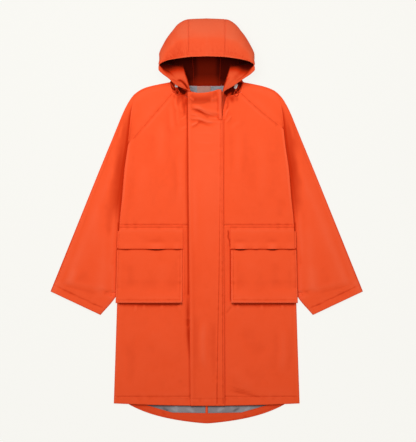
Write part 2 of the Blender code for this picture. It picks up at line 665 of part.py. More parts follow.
def main():
    for leftover in list(bpy.data.objects):
        bpy.data.objects.remove(leftover)
    cloth = material("shell_cloth", ORANGE, 0.6)
    grey = material("lining_coating", LINING_GREY, 0.5)
    pink = material("label_tape", LABEL_PINK, 0.7)
    white = material("lock_plastic", LOCK_WHITE, 0.35)
    elastic = material("elastic_cord", ORANGE, 0.7)

    for word, side in SIDES.items():
        back_panel(f"back_{word}", side, cloth)
        upper_front(f"front_upper_{word}", side, cloth)
        lower_front(f"front_lower_{word}", side, cloth)
        sleeve_back(f"sleeve_back_{word}", side, cloth)
        sleeve_front(f"sleeve_front_{word}", side, cloth)
        pocket(f"pocket_{word}", side, cloth)
        flap(f"pocket_flap_{word}", side, cloth)
        hood_side(f"hood_side_{word}", side, cloth)
        hem_lining(f"hem_lining_{word}", side["sign"], grey)
        route = CORDS[word]
        cord_lock(f"cord_lock_{word}", route["middle"], route["heading"], white)
        cord(f"hood_cord_{word}", cord_line(**route), elastic)
    hood_centre("hood_centre", cloth)
    storm_flap("storm_flap", cloth)
    hem_facing("hem_facing", cloth)
    flat_patch("back_seam_tape", finish=cloth, **TAPE)
    flat_patch("neck_lining", finish=grey, **NECK_LINING)
    flat_patch("neck_label", finish=pink, **LABEL)


main()
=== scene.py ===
import math

import bpy
import numpy as np
from mathutils import Matrix, Vector


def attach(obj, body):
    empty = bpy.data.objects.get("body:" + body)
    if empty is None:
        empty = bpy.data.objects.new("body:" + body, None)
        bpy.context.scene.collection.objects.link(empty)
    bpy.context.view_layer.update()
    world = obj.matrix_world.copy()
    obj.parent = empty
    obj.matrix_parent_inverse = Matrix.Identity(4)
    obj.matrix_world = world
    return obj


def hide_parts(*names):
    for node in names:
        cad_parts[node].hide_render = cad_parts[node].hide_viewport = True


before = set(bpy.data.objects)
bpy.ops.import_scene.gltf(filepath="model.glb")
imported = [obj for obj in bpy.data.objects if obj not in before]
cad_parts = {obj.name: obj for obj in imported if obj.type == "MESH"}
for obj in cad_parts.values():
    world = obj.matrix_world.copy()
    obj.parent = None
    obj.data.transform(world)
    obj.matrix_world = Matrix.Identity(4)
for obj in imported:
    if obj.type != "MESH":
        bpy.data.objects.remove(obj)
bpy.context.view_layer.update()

mm = 0.001
print("frame loaded:", len(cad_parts), "nodes")

# camera straight above, one pixel of the 416 x 442 frame is 3.3 mm on the coat
shot = dict(pixels=442, pixelSize=3.3, middle=(4.3, 0.0), height=30000.0, sensor=36.0)


def placed(name, data):
    made = bpy.data.objects.new(name, data)
    bpy.context.scene.collection.objects.link(made)
    return made


def placeCamera():
    data = bpy.data.cameras.new("camera")
    data.sensor_width = shot["sensor"]
    data.sensor_fit = "AUTO"
    data.lens = shot["sensor"] * shot["height"] / (shot["pixels"] * shot["pixelSize"])
    data.clip_end = 100
    camera = placed("camera", data)
    camera.location = (shot["middle"][0] * mm, shot["middle"][1] * mm, shot["height"] * mm)
    bpy.context.scene.camera = camera


placeCamera()
bpy.context.scene.view_settings.view_transform = "Standard"


# lengths are millimetres until a mesh is made

def smoothStep(t):
    t = np.clip(t, 0, 1)
    return t * t * (3 - 2 * t)


def rounded(t):
    return np.sqrt(1 - (1 - np.clip(t, 0, 1)) ** 2)


def through(known, values, at):                      # smooth, never swings past its values
    known, values = np.asarray(known, float), np.asarray(values, float)
    shape = values.shape[1:]
    values = values.reshape(len(known), -1)
    slope = np.diff(values, axis=0) / np.diff(known)[:, None]
    tangent = np.zeros_like(values)
    sameWay = slope[:-1] * slope[1:] > 0
    safe = np.where(sameWay, slope[:-1] + slope[1:], 1)
    tangent[1:-1] = np.where(sameWay, 2 * slope[:-1] * slope[1:] / safe, 0)
    tangent[0], tangent[-1] = slope[0], slope[-1]
    at = np.atleast_1d(np.asarray(at, float))
    k = np.clip(np.searchsorted(known, at) - 1, 0, len(known) - 2)
    h = np.diff(known)[k][:, None]
    t = ((at - known[k]) / (known[k + 1] - known[k]))[:, None]
    found = ((1 + 2 * t) * (1 - t) ** 2 * values[k] + t * (1 - t) ** 2 * h * tangent[k]
             + t * t * (3 - 2 * t) * values[k + 1] + t * t * (t - 1) * h * tangent[k + 1])
    return found.reshape((len(at),) + shape)


def along(line, shares):                             # points of a line at shares of its length
    return through(lengths(line), line, shares)


def arc(points):
    return np.linalg.norm(np.diff(points, axis=0), axis=1).sum()


def unit(vectors):
    return vectors / np.maximum(np.linalg.norm(vectors, axis=-1, keepdims=True), 1e-9)


def lookup(table, key, name, at):
    order = np.argsort(table[key])
    keys, values = np.array(table[key], float)[order], np.array(table[name], float)[order]
    at = np.clip(np.asarray(at, float), keys[0], keys[-1])
    return through(keys, values, at.ravel()).reshape(at.shape)


def lengths(points):
    gone = np.concatenate([[0], np.cumsum(np.linalg.norm(np.diff(points, axis=0), axis=1))])
    return gone / gone[-1]


def resampled(points, step):
    points = np.asarray(points, float)
    return along(points, np.linspace(0, 1, max(int(arc(points) / step), 2) + 1))


def spaced(start, end, step, close=()):              # even places, and finer ones round the close ones
    places = list(np.linspace(start, end, int(abs(end - start) / step) + 1))
    low, high = min(start, end), max(start, end)
    for middle in close:
        places += [middle + away for away in (-5, -3.2, -2, -1, 0, 1, 2, 3.2, 5)]
    places = sorted(place for place in places if low <= place <= high)
    kept = [places[0]]
    for place in places[1:-1]:
        if place - kept[-1] > 0.45 and places[-1] - place > 0.45:
            kept.append(place)
    kept.append(places[-1])
    return np.array(kept if start < end else kept[::-1])


def blurred(values, axis, sigma):
    taps = max(int(2.5 * sigma), 1)
    weights = np.exp(-(np.arange(-taps, taps + 1) / sigma) ** 2 / 2)
    padded = np.pad(values, [(taps, taps) if a == axis else (0, 0) for a in range(2)], mode="edge")
    total = sum(w * np.take(padded, np.arange(k, k + values.shape[axis]), axis=axis)
                for k, w in enumerate(weights))
    return total / weights.sum()


def hollows(grid, reach):                            # how far each point lies under its surroundings, mm
    smooth = grid[..., 2]
    for axis in (0, 1):
        apart = np.linalg.norm(np.diff(grid[..., :3], axis=axis), axis=2).mean()
        smooth = blurred(smooth, axis, max(reach / max(apart, 0.2), 0.5))
    return smooth - grid[..., 2]


def softNoise(x, y, size, seed):                     # smooth seeded noise, about -1 to 1
    grid = np.random.RandomState(seed).rand(64, 64) * 2 - 1
    gx, gy = np.asarray(x) / size + 640, np.asarray(y) / size + 640
    ix, iy = np.floor(gx).astype(int), np.floor(gy).astype(int)
    fx, fy = smoothStep(gx - ix), smoothStep(gy - iy)
    ix, iy, jx, jy = ix % 64, iy % 64, (ix + 1) % 64, (iy + 1) % 64
    low = grid[ix, iy] * (1 - fx) + grid[jx, iy] * fx
    high = grid[ix, jy] * (1 - fx) + grid[jx, jy] * fx
    return low * (1 - fy) + high * fy


def crease(path, width, lift, fade=0.35, **more):    # fade is the share at each end over which it dies out
    return dict(path=path, width=width, lift=lift, fade=fade, **more)


def creases(*rows, sign=1, **shared):
    # a row is the width, the lift and the fade at both ends, then x and y of each point;
    # a last dictionary in a row adds to it, and a sign of -1 turns the rows over to the left side
    made = []
    for row in rows:
        own = row[-1] if isinstance(row[-1], dict) else {}
        width, lift, fade, *places = row[:-1] if own else row
        path = [(sign * x, y) for x, y in zip(places[::2], places[1::2])]
        made.append(crease(path, width, lift, fade, **shared, **own))
    return made


def relief(x, y, rows):
    # each crease is a ridge or a trough along a path; its right-hand side is steeper by lean,
    # and pucker gives the length of the small waves along it
    total = np.zeros_like(x)
    last = 27                                        # points on the path, from 0
    for number, row in enumerate(rows):
        line = along(np.array(row["path"], float), np.linspace(0, 1, last + 1))
        long, reach, fade = arc(line), 3 * row["width"], row["fade"]
        near = ((x > line[:, 0].min() - reach) & (x < line[:, 0].max() + reach)
                & (y > line[:, 1].min() - reach) & (y < line[:, 1].max() + reach))
        px, py = x[near], y[near]
        if not len(px):
            continue
        k = ((px[:, None] - line[:, 0]) ** 2 + (py[:, None] - line[:, 1]) ** 2).argmin(axis=1)
        heading = unit(np.gradient(line, axis=0))[k]
        dx, dy = px - line[k, 0], py - line[k, 1]
        away = heading[:, 0] * dy - heading[:, 1] * dx
        share = k / last + (heading[:, 0] * dx + heading[:, 1] * dy) / long
        taper = smoothStep(share / fade) * smoothStep((1 - share) / fade) if fade else 1.0
        inside = (share > -0.02) & (share < 1.02)
        width = np.where(away < 0, row["width"] * row.get("lean", 1.0), row["width"])
        height = row["lift"] * taper * inside * np.exp(-(away / width) ** 2)
        if "pucker" in row:
            height = height * softNoise(share * long, away * 0.4, row["pucker"], 40 + number)
        total[near] += height
    return total


# the cut, with the same named sizes as the solids
cut = dict(
    wall=1.5, thin=1.0, flapWall=2.0, labelWall=0.8, seam=0.3, sideRoll=7.0, rampStart=20.0, rampEnd=5.0,
    sleeveLoft=3.5, sleeveRound=20.0, creaseValley=32.0, creaseStation=7,
    hemSide=-601.6, hemDip=7.5, frontRise=60.0, backDrop=66.0, backHalf=262.0, backRise=90.0,
    waist=-14.0, nape=445.7, armWay=(0.376, -0.927),
)
sleeveLow = 2 * cut["wall"] + cut["seam"]
marginLift = sleeveLow + cut["seam"]
frontFace = marginLift + 2 * cut["wall"] + cut["seam"]
pocketFace = frontFace + 5.3
mouthFace = frontFace + 2.5
onBack = cut["wall"] + cut["seam"] + cut["thin"]

sideFold = dict(
    y=[-612, -274, -92, 0, 69, 173, 253, 310, 357, 398, 460],
    half=[306.3, 295.4, 291, 287, 280, 271, 259.5, 253.5, 249, 241.5, 230],
)
raglanTop = (112.4, 424.6)
sides = dict(
    left=dict(sign=-1, seam=[raglanTop, (187.0, 338.0), (248.0, 267.0), (258.8, 253.0)],
              underarm=(232.0, 192.0)),
    right=dict(sign=1, seam=[raglanTop, (181.0, 362.0), (244.5, 311.0), (252.6, 303.0)],
               underarm=(230.0, 236.0)),
)
sleeveOuter = [
    (121, 457), (165, 448.5), (205, 438), (229, 425), (244, 410.5), (259, 388.5), (276.2, 354),
    (301.6, 292), (327.6, 229), (352.6, 168), (426.6, -15), (473, -130), (514.4, -232.6),
]
sleeveInner = [
    (232, 100), (241, 0), (253, -100), (273, -185), (300, -248), (351, -309.5),
]
hoodRibs = dict(                                     # x, y and z at six places from the brim back to the neck
    zip=[(0.3, 417, 35), (0.3, 403, 27.5), (0.3, 388, 21), (0.3, 371, 15.2), (0.3, 354, 10.3), (0.3, 337.8, 6.9)],
    throat=[(49, 426, 39), (50, 409, 31), (50, 392, 23.5), (50, 374, 16.5), (50, 356, 10.8), (49.6, 338.7, 6.9)],
    fold=[(60, 431, 42), (56, 428, 42), (53, 420, 36), (53, 404, 26), (53, 385, 15), (53.6, 364.0, 6.9)],
    lapel=[(80, 441, 46), (68, 440, 46), (56, 438, 41), (60, 428, 27), (63, 418, 14), (66.0, 409.5, 6.9)],
    flank=[(122.5, 469, 60), (94, 470, 56), (65, 470, 47), (78, 457, 23), (90, 438, 10), (100.0, 420.2, 6.9)],
    shoulder=[(147.5, 486, 70), (107, 486, 60), (72, 489, 49), (83, 479, 22), (98, 457, 8), (111.6, 425.4, 6.9)],
    corner=[(158.5, 499.5, 78), (122, 504, 65), (79, 507, 50), (90, 500, 20), (106, 480, 6), (123.0, 456.5, 2.4)],
    bend=[(155.5, 514.5, 86), (159, 516, 75), (155.5, 522, 54), (122, 520, 19), (106, 505, 1.2), (104, 449.0, 1.0)],
    cheek=[(135, 527, 92), (149, 536, 86), (157, 548, 62), (132, 545, 18), (105, 533, 0), (86, 446.3, 0)],
    temple=[(108, 533, 97), (125, 566, 91), (139, 589, 59), (114, 580, 15), (90, 565, 0), (68, 446.2, 0)],
    brow=[(82, 537, 100.5), (98, 590, 94), (113, 627, 55), (90, 612, 12), (74, 592, 0), (54, 446.1, 0)],
    crest=[(70, 538.5, 102), (78, 598, 96), (90, 652, 53), (74, 634, 11), (62, 606, 0), (48, 446, 0)],
    seam=[(58, 540, 103), (60, 602, 97.5), (60, 665, 52), (56, 647, 10), (50, 614, 0), (42, 446, 0)],
    crown=[(0, 542, 105), (0, 606, 100), (0, 667.6, 50), (0, 653, 9), (0, 620, 0), (0, 446, 0)],
)
ribPoints = np.array(list(hoodRibs.values()), float)
ribNumber = {name: number for number, name in enumerate(hoodRibs)}

# large soft waves that every layer of the front shares, by their place on the coat
bodyCreases = creases(
    (9, 1.3, 0.35, -118, 402, -116, 350, -111, 290), (6, 0.9, 0.35, -92, 392, -96, 350, -92, 312),
    (20, 1.4, 0.35, -148, 345, -152, 250, -148, 160), (13, 1.2, 0.35, -88, 240, -84, 140, -86, 40),
    (26, 1.2, 0.35, -205, 205, -215, 90, -212, 10), (24, 1.5, 0.35, 172, 290, 184, 180, 180, 50),
    (16, 1, 0.35, 100, 330, 104, 230, 98, 120), (28, -0.6, 0.35, 258, 90, 244, 30, 236, -8),
    (14, 1.8, 0.35, -6, -310, -14, -400, -10, -500), (16, -1.2, 0.35, 28, -290, 26, -420, 30, -560),
    (38, 1.8, 0.35, -210, -330, -150, -400, -116, -480),
    (24, -1.2, 0.35, -262, -380, -250, -470, -256, -560), (36, -1.6, 0.35, 112, -340, 150, -400, 196, -462),
    (18, 1.7, 0.35, 250, -330, 252, -420, 246, -520), (22, 1.3, 0.35, 90, -470, 112, -520, 160, -556),
    (12, -0.9, 0.35, 66, -556, 120, -566, 188, -582), (11, -0.4, 0.35, -90, -516, -80, -536, -66, -556),
    (5, -1, 0.35, 84, -276, 74, -292, 62, -310), (6, -1.3, 0.35, -63, -318, -62, -334, -63, -352))


def bodyRelief(x, y):
    wide = 0.40 * softNoise(x, y, 85, 3) + 0.16 * softNoise(x, y, 30, 4) + 0.05 * softNoise(x, y, 11, 5)
    return relief(x, y, bodyCreases) + wide


def backDip(x):                                      # how far the back hem curves down, as a share
    across = np.clip(np.abs(x) / cut["backHalf"], 0, 1)
    return 1 - across ** (1.46 + 0.886 * across)


def hiddenFold(side):
    (x, y), underarm = side["seam"][-1], side["underarm"]
    rows = [(x + 34, y + 16), (x, y + 4), underarm] + sleeveInner[:-1] + [(330, -268)]
    return dict(x=[row[0] for row in rows], y=[row[1] for row in rows])


def sideEdge(y):
    return lookup(sideFold, "y", "half", y)


def beside(side, past, rows):                        # a line past the body's side fold
    return [(side["sign"] * (float(sideEdge(np.array(y))) + past), y) for y in rows]


def lift(side, x, y):
    past = x - lookup(hiddenFold(side), "y", "x", y) + cut["rampStart"]
    return marginLift * smoothStep(past / (cut["rampStart"] - cut["rampEnd"]))


def frontLevel(side, x, y):                          # x is the distance from the coat's middle
    low = sleeveLow + lift(side, x, y)
    endY = side["seam"][-1][1]
    roll = rounded((sideEdge(y) - x) / cut["sideRoll"])
    roll = roll + (1 - roll) * smoothStep((y - endY + 16) / 16)
    return low + (frontFace - low) * roll


def midline(y):                                      # beside the coat's middle, by half a seam
    return np.column_stack([np.full(len(y), cut["seam"] / 2), y])


def foldLine(y, inset):
    return np.column_stack([sideEdge(y) - inset, y])


def raglanLine(side, count):
    seam = np.array(side["seam"])[::-1] - cut["seam"]
    return along(seam, np.linspace(0, 1, count + 1)[1:])


class Wire:
    def __init__(self, finish, socket):
        self.finish, self.socket = finish, socket

    def maths(self, operation, first, second):
        return self.finish.maths(operation, first, second)

    __add__ = lambda self, other: self.maths("ADD", self, other)
    __radd__ = lambda self, other: self.maths("ADD", other, self)
    __sub__ = lambda self, other: self.maths("SUBTRACT", self, other)
    __rsub__ = lambda self, other: self.maths("SUBTRACT", other, self)
    __mul__ = lambda self, other: self.maths("MULTIPLY", self, other)
    __rmul__ = lambda self, other: self.maths("MULTIPLY", other, self)


class Finish:
    def __init__(self, name, **constants):
        self.material = bpy.data.materials.new(name)
        self.material.use_nodes = True
        self.tree = self.material.node_tree
        self.shader = self.tree.nodes["Principled BSDF"]
        for socket, value in constants.items():
            self.shader.inputs[socket.replace("_", " ")].default_value = value
        self.place = self.node("ShaderNodeTexCoord", out="Object")

    def node(self, kind, settings=None, values=None, out=0):
        made = self.tree.nodes.new(kind)
        for name, value in (settings or {}).items():
            setattr(made, name, value)
        for key, value in (values or {}).items():
            self.feed(made.inputs[key], value)
        return Wire(self, made.outputs[out])

    def feed(self, socket, value):
        if isinstance(value, Wire):
            self.tree.links.new(value.socket, socket)
        else:
            socket.default_value = value

    def drive(self, **sockets):
        for name, value in sockets.items():
            self.feed(self.shader.inputs[name.replace("_", " ")], value)

    def painted(self, label):                        # a value that each point of the mesh carries
        return self.node("ShaderNodeAttribute", dict(attribute_name=label), None, "Fac")

    def maths(self, operation, first, second):
        return self.node("ShaderNodeMath", dict(operation=operation), {0: first, 1: second})

    def noise(self, scale, detail=2.0, rough=0.5):
        return self.node("ShaderNodeTexNoise", dict(noise_dimensions="3D"),
                         dict(Vector=self.place, Scale=scale, Detail=detail, Roughness=rough), "Fac")

    def threads(self, across, spacing):              # one set of parallel threads
        settings = dict(wave_type="BANDS", bands_direction=across, wave_profile="SIN")
        scale = math.pi / (10 * spacing * mm)
        return self.node("ShaderNodeTexWave", settings, dict(Vector=self.place, Scale=scale, Distortion=0.0), "Fac")

    def weave(self, spacing):
        return self.threads("X", spacing) * 0.5 + self.threads("Y", spacing) * 0.5

    def mix(self, share, first, second):
        return self.node("ShaderNodeMix", dict(data_type="RGBA"), {0: share, 6: first, 7: second}, 2)

    def bump(self, height, strength, distance):
        return self.node("ShaderNodeBump", {}, dict(Height=height, Strength=strength, Distance=distance * mm))


# the cloth's colour; a paler tone used both for random mottle and for painted highlight on ridges; deep and dark
# are painted shade for hollows, creases and insides
shellLook = dict(colour=(0.895, 0.089, 0.0235, 1), paleMottleAndHighlight=(0.915, 0.122, 0.046, 1), deep=(0.520, 0.024, 0.0035, 1),
                 dark=(0.050, 0.0012, 0.0002, 1), thread=0.55, roughness=0.6)
# the hood's copy of the same cloth, painted darker as shade against the brighter light that falls on the hood
hoodShadedTone = dict(colour=(0.735, 0.080, 0.0245, 1), paleMottleAndHighlight=(0.700, 0.110, 0.045, 1))


def shellFinish(name, **tones):
    look = {**shellLook, **tones}
    made = Finish(name, Specular_IOR_Level=0.05, Sheen_Weight=0.03, Sheen_Roughness=0.35,
                  Specular_Tint=(1.0, 0.35, 0.18, 1), Sheen_Tint=(1.0, 0.40, 0.22, 1))
    weave = made.weave(look["thread"])
    mottle = made.noise(46, 3.0)
    broad = made.noise(9, 2.0)
    depth, inside = made.painted("depth"), made.painted("inside")
    # painted highlight on ridges and painted shade in hollows, from each point's painted shading
    ridge = made.maths("MAXIMUM", -1.0 * depth, 0.0)
    hollowShade = made.maths("MINIMUM", made.maths("MAXIMUM", depth, 0.0), 1.0)
    tone = made.mix(broad * 0.30 + mottle * 0.22 - 0.16 + ridge, look["colour"], look["paleMottleAndHighlight"])
    tone = made.mix(hollowShade, tone, look["deep"])
    # painted shade of insides, first towards the deep colour and then towards the dark one
    tone = made.mix(made.maths("MINIMUM", inside * 2.0, 1.0), tone, look["deep"])
    made.drive(Base_Color=made.mix(made.maths("MAXIMUM", inside * 2.0 - 1.0, 0.0), tone, look["dark"]),
               Roughness=look["roughness"] + mottle * 0.10 - 0.05,
               Normal=made.bump(weave * 0.4 + mottle * 0.9, 0.35, 0.16))
    return made.material


liningLook = dict(colour=(0.150, 0.128, 0.138, 1), pale=(0.330, 0.318, 0.340, 1), shade=(0.030, 0.022, 0.022, 1),
                  roughness=0.42)


def liningFinish():
    made = Finish("coated lining", Specular_IOR_Level=0.5)
    mottle = made.noise(60, 3.0)
    broad = made.noise(14, 2.0)
    weave = made.weave(0.5)
    # painted highlight on ridges and painted shade in hollows and marks, from each point's painted shading
    tone = made.mix(broad - made.painted("depth") * 1.2, liningLook["colour"], liningLook["pale"])
    made.drive(Base_Color=made.mix(made.painted("depth"), tone, liningLook["shade"]),
               Roughness=liningLook["roughness"] + mottle * 0.2,
               Normal=made.bump(weave * 0.3 + mottle, 0.4, 0.2))
    return made.material


# colours of the neck lining, painted darker for the shade it lies in under the hood
neckLook = dict(colour=(0.100, 0.098, 0.115, 1), pale=(0.262, 0.262, 0.290, 1))


def neckFinish():
    made = Finish("neck lining", Specular_IOR_Level=0.45, Roughness=0.5)
    broad = made.noise(70, 3.0)
    weave = made.weave(0.5)
    made.drive(Base_Color=made.mix(broad, neckLook["colour"], neckLook["pale"]),
               Normal=made.bump(weave * 0.3 + broad, 0.4, 0.2))
    return made.material


def labelFinish():
    made = Finish("label tape", Roughness=0.75, Sheen_Weight=0.2)
    ribs = made.threads("Y", 0.4)
    broad = made.noise(120, 2.0)
    # label colours painted darker for the shade under the hood
    made.drive(Base_Color=made.mix(broad * 0.6 + ribs * 0.2, (0.370, 0.168, 0.132, 1), (0.470, 0.235, 0.186, 1)),
               Normal=made.bump(ribs, 0.5, 0.12))
    return made.material


def lockFinish():
    made = Finish("lock plastic", Specular_IOR_Level=0.5)
    grain = made.noise(900, 2.0)
    made.drive(Base_Color=made.mix(made.noise(160, 2.0), (0.56, 0.53, 0.51, 1), (0.70, 0.68, 0.65, 1)),
               Roughness=0.30 + grain * 0.15, Normal=made.bump(grain, 0.2, 0.05))
    return made.material


def cordFinish():
    made = Finish("elastic cord", Roughness=0.8, Specular_IOR_Level=0.1)
    braid = made.threads("DIAGONAL", 0.5)
    made.drive(Base_Color=made.mix(braid, (0.45, 0.018, 0.004, 1), (0.80, 0.062, 0.014, 1)),
               Normal=made.bump(braid, 0.7, 0.3))
    return made.material


def threadFinish():
    made = Finish("sewing thread", Roughness=0.7, Specular_IOR_Level=0.15)
    twist = made.noise(1500, 1.0)
    made.drive(Base_Color=made.mix(twist, (0.640, 0.042, 0.010, 1), (0.820, 0.068, 0.016, 1)),
               Normal=made.bump(twist, 0.4, 0.08))
    return made.material


shellCloth, hoodCloth = shellFinish("rain cloth"), shellFinish("rain cloth of the hood", **hoodShadedTone)
coatedLining, neckCloth = liningFinish(), neckFinish()
labelTape, lockPlastic, elastic, thread = labelFinish(), lockFinish(), cordFinish(), threadFinish()
print("finishes made")


def meshPiece(name, points, faces, finish, values=None):
    mesh = bpy.data.meshes.new(name)
    mesh.from_pydata((np.asarray(points) * mm).tolist(), [], faces)
    mesh.shade_smooth()
    # each point carries its painted shading (shade, or highlight where negative) and the painted shade of its
    # inside
    for number, label in enumerate(("depth", "inside")):
        if values is not None:
            shade = mesh.attributes.new(label, "FLOAT", "POINT")
            shade.data.foreach_set("value", values[:, number].astype(np.float32))
    mesh.materials.append(finish)
    return placed(name, mesh)


def tied(made, node=None):                     # a piece of the one body, in the place of its solid
    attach(made, "root")
    if node:
        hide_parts(node)


def supported(grid, inset):                          # a line of points just inside each border
    def step(a, b):
        gap = b - a
        long = np.maximum(np.linalg.norm(gap[..., :3], axis=-1, keepdims=True), 1e-6)
        return a + gap * np.minimum(inset / long, 0.4)

    for _ in range(2):
        grid = np.concatenate([grid[:1], step(grid[0], grid[1])[None], grid[1:-1],
                               step(grid[-1], grid[-2])[None], grid[-1:]]).transpose(1, 0, 2)
    return grid


def shell(name, outer, inner, finish):
    # cloth between two grids of points with their depth and inside values, with soft edges all round
    outer, inner = supported(outer, 0.55), supported(inner, 0.55)
    rows, columns = outer.shape[:2]
    number = np.arange(rows * columns).reshape(rows, columns)
    behind = number + rows * columns
    rim = [(i, 0) for i in range(rows)] + [(rows - 1, j) for j in range(1, columns)]
    rim += [(i, columns - 1) for i in range(rows - 2, -1, -1)] + [(0, j) for j in range(columns - 2, 0, -1)]
    i, j = np.array(rim).T
    gap = inner[i, j] - outer[i, j]
    out = outer[i, j] - outer[np.clip(i, 1, rows - 2), np.clip(j, 1, columns - 2)]
    out = unit(out[:, :3])
    middle = (outer[i, j] + inner[i, j]) / 2
    middle[:, :3] += out * 0.30 * np.linalg.norm(gap[:, :3], axis=1, keepdims=True)
    outer[i, j] += 0.22 * gap
    inner[i, j] -= 0.22 * gap
    points = np.concatenate([outer.reshape(-1, outer.shape[2]), inner.reshape(-1, outer.shape[2]), middle])
    faces = np.stack([number[:-1, :-1], number[:-1, 1:], number[1:, 1:], number[1:, :-1]], -1).reshape(-1, 4)
    back = np.stack([behind[1:, :-1], behind[1:, 1:], behind[:-1, 1:], behind[:-1, :-1]], -1).reshape(-1, 4)
    ring = 2 * rows * columns + np.arange(len(rim))
    after = np.roll(np.arange(len(rim)), -1)
    top, low = number[i, j], behind[i, j]
    hem = np.concatenate([np.stack([top, top[after], ring[after], ring], -1),
                          np.stack([ring, ring[after], low[after], low], -1)])
    faces = np.concatenate([faces, back, hem])
    a, b, c, d = (points[faces[:, k], :3] for k in range(4))
    if (np.cross(b - a, c - a) * a).sum() + (np.cross(c - a, d - a) * a).sum() < 0:
        faces = faces[:, ::-1]
    return meshPiece(name, points[:, :3], faces.tolist(), finish, points[:, 3:])


def flatSize(grid):
    # width, length and area of the cut, from the cloth's own face
    across = np.linalg.norm(np.diff(grid, axis=1), axis=2).sum(axis=1).max()
    down = np.linalg.norm(np.diff(grid, axis=0), axis=2).sum(axis=0).max()
    a, b, c, d = grid[:-1, :-1], grid[:-1, 1:], grid[1:, 1:], grid[1:, :-1]
    area = sum(np.linalg.norm(np.cross(p - a, q - a), axis=2).sum() for p, q in ((b, c), (c, d))) / 2
    return across * mm, down * mm, area * mm * mm


sewn, sheets = {}, {}                                # lines of sewing and cloth, by piece


# how strongly hollows get painted shade at two reaches, and the most painted highlight and painted shade
shading = dict(reaches=[(9.0, 0.26), (3.5, 0.55)], ridge=0.8, most=0.95)


def clothPiece(name, outer, inner, restsOn, finish=shellCloth, slot="shell_cloth", inside=(0, 0), marks=0.0,
               lips=0, node=None):
    # painted shade in hollows and painted highlight on ridges, plus the painted marks; inside is painted shade for
    # the outer and the inner face
    depth = sum(hollows(outer, reach) * gain for reach, gain in shading["reaches"])
    depth = np.clip(depth + marks, -shading["ridge"], shading["most"])
    within, beneath = (part + 0 * depth for part in inside)
    made = shell(name, np.dstack([outer, depth, within]), np.dstack([inner, depth * 0, beneath]), finish)
    tied(made, name.removesuffix("_cloth") if node is None else node)
    width, length, area = flatSize(outer[:, :outer.shape[1] - lips])
    width, length = max(width, 0.01), max(length, 0.01)          # at least 10 mm each way; the least that a sheet may have
    area = min(area, width * length)
    print(f"  {name}: cut {width:.3f} x {length:.3f} m, {area:.4f} m2")
    sheets[name] = dict(piece=made, flat=(width, length), area=area, rests_on=restsOn)


def layer(name, x, y, top, thickness, restsOn, **more):
    outer = np.dstack([x, y, top])
    clothPiece(name, outer, outer - [0, 0, thickness], restsOn, **more)


def folded(outer, thickness, below, first=False):
    # rolls the last column (or the first) down round the layer beneath, to the height below
    if first:
        outer = outer[:, ::-1]
    edge, before = outer[:, -1], outer[:, -2]
    out = unit(edge[:, :2] - before[:, :2])
    radius = np.maximum((edge[:, 2] - below) / 2, thickness / 2)
    middle = edge[:, 2] - radius
    inner = outer - [0, 0, thickness]
    lipsOut, lipsIn = [], []
    for turn in np.linspace(0, math.pi, 8)[1:]:
        for lips, size in ((lipsOut, radius), (lipsIn, np.maximum(radius - thickness, 0.05))):
            reach = size * math.sin(turn) * 0.7
            lips.append(np.column_stack([edge[:, :2] + out * reach[:, None], middle + size * math.cos(turn)]))
    outer = np.concatenate([outer, np.stack(lipsOut, 1)], axis=1)
    inner = np.concatenate([inner, np.stack(lipsIn, 1)], axis=1)
    return (outer[:, ::-1], inner[:, ::-1]) if first else (outer, inner)


def sewingLine(where, points):
    sewn.setdefault(where, []).append(np.asarray(points, float))


def sewOn(where, points, height, above=0.12):        # a line of sewing on a face of the given height
    line = resampled(points, stitch["step"])
    sewingLine(where, np.column_stack([line, height(line[:, 0], line[:, 1]) + above]))


stitch = dict(step=3.0, pitch=3.6, long=2.5, thick=0.34, rings=[(-0.5, 0.45), (0.0, 1.0), (0.5, 0.45)], round=5)


def sewingPiece(name, lines):
    turns = np.arange(stitch["round"]) * 2 * math.pi / stitch["round"]
    points, faces, start = [], [], 0
    for line in lines:
        line = np.asarray(line)
        count = max(int(arc(line) / stitch["pitch"]), 2)
        at = (np.arange(count) + 0.5) / count
        middle = along(line, at)
        way = unit(along(line, np.minimum(at + 0.3 / count, 1)) - along(line, np.maximum(at - 0.3 / count, 0)))
        flat = unit(np.cross(way, [0, 0, 1.0]))
        up = np.cross(flat, way)
        for share, size in stitch["rings"]:
            spread = stitch["thick"] * size
            ring = (middle + way * share * stitch["long"])[:, None] + spread * (
                np.cos(turns)[:, None] * flat[:, None] + np.sin(turns)[:, None] * up[:, None])
            points.append(ring.reshape(-1, 3))
        n = stitch["round"]
        index = np.arange(count)[:, None] * n + np.arange(n)
        after = np.arange(count)[:, None] * n + (np.arange(n) + 1) % n
        block = count * n
        for k in (start, start + block):
            ring = np.stack([index + k, after + k, after + k + block, index + k + block], -1)
            faces += ring.reshape(-1, 4).tolist()
        faces += (start + index[:, ::-1]).tolist() + (start + index + 2 * block).tolist()
        start += 3 * block
    made = meshPiece(name, np.concatenate(points), faces, thread)
    tied(made)
    return made


cordLook = dict(diameter=2.4, strand=1.9, places=[-12.5, -8.5, 0.0, 8.5])
cordLoop = [
    (14.5, 1.9), (19, 3.4), (23, 6), (28.5, 6.9), (33.5, 4), (35.1, 0),
]
cordRoutes = dict(
    left=dict(middle=(-99.0, 449.0, 21.0), heading=(0.1, -1.0, -0.35),
              ends=((-103.5, 461.5, 54.4), (-99.0, 459.5, 53.3))),
    right=dict(middle=(96.0, 444.5, 20.0), heading=(0.05, -1.0, -0.35),
               ends=((99.5, 459.0, 53.2), (95.0, 456.5, 51.9))),
)


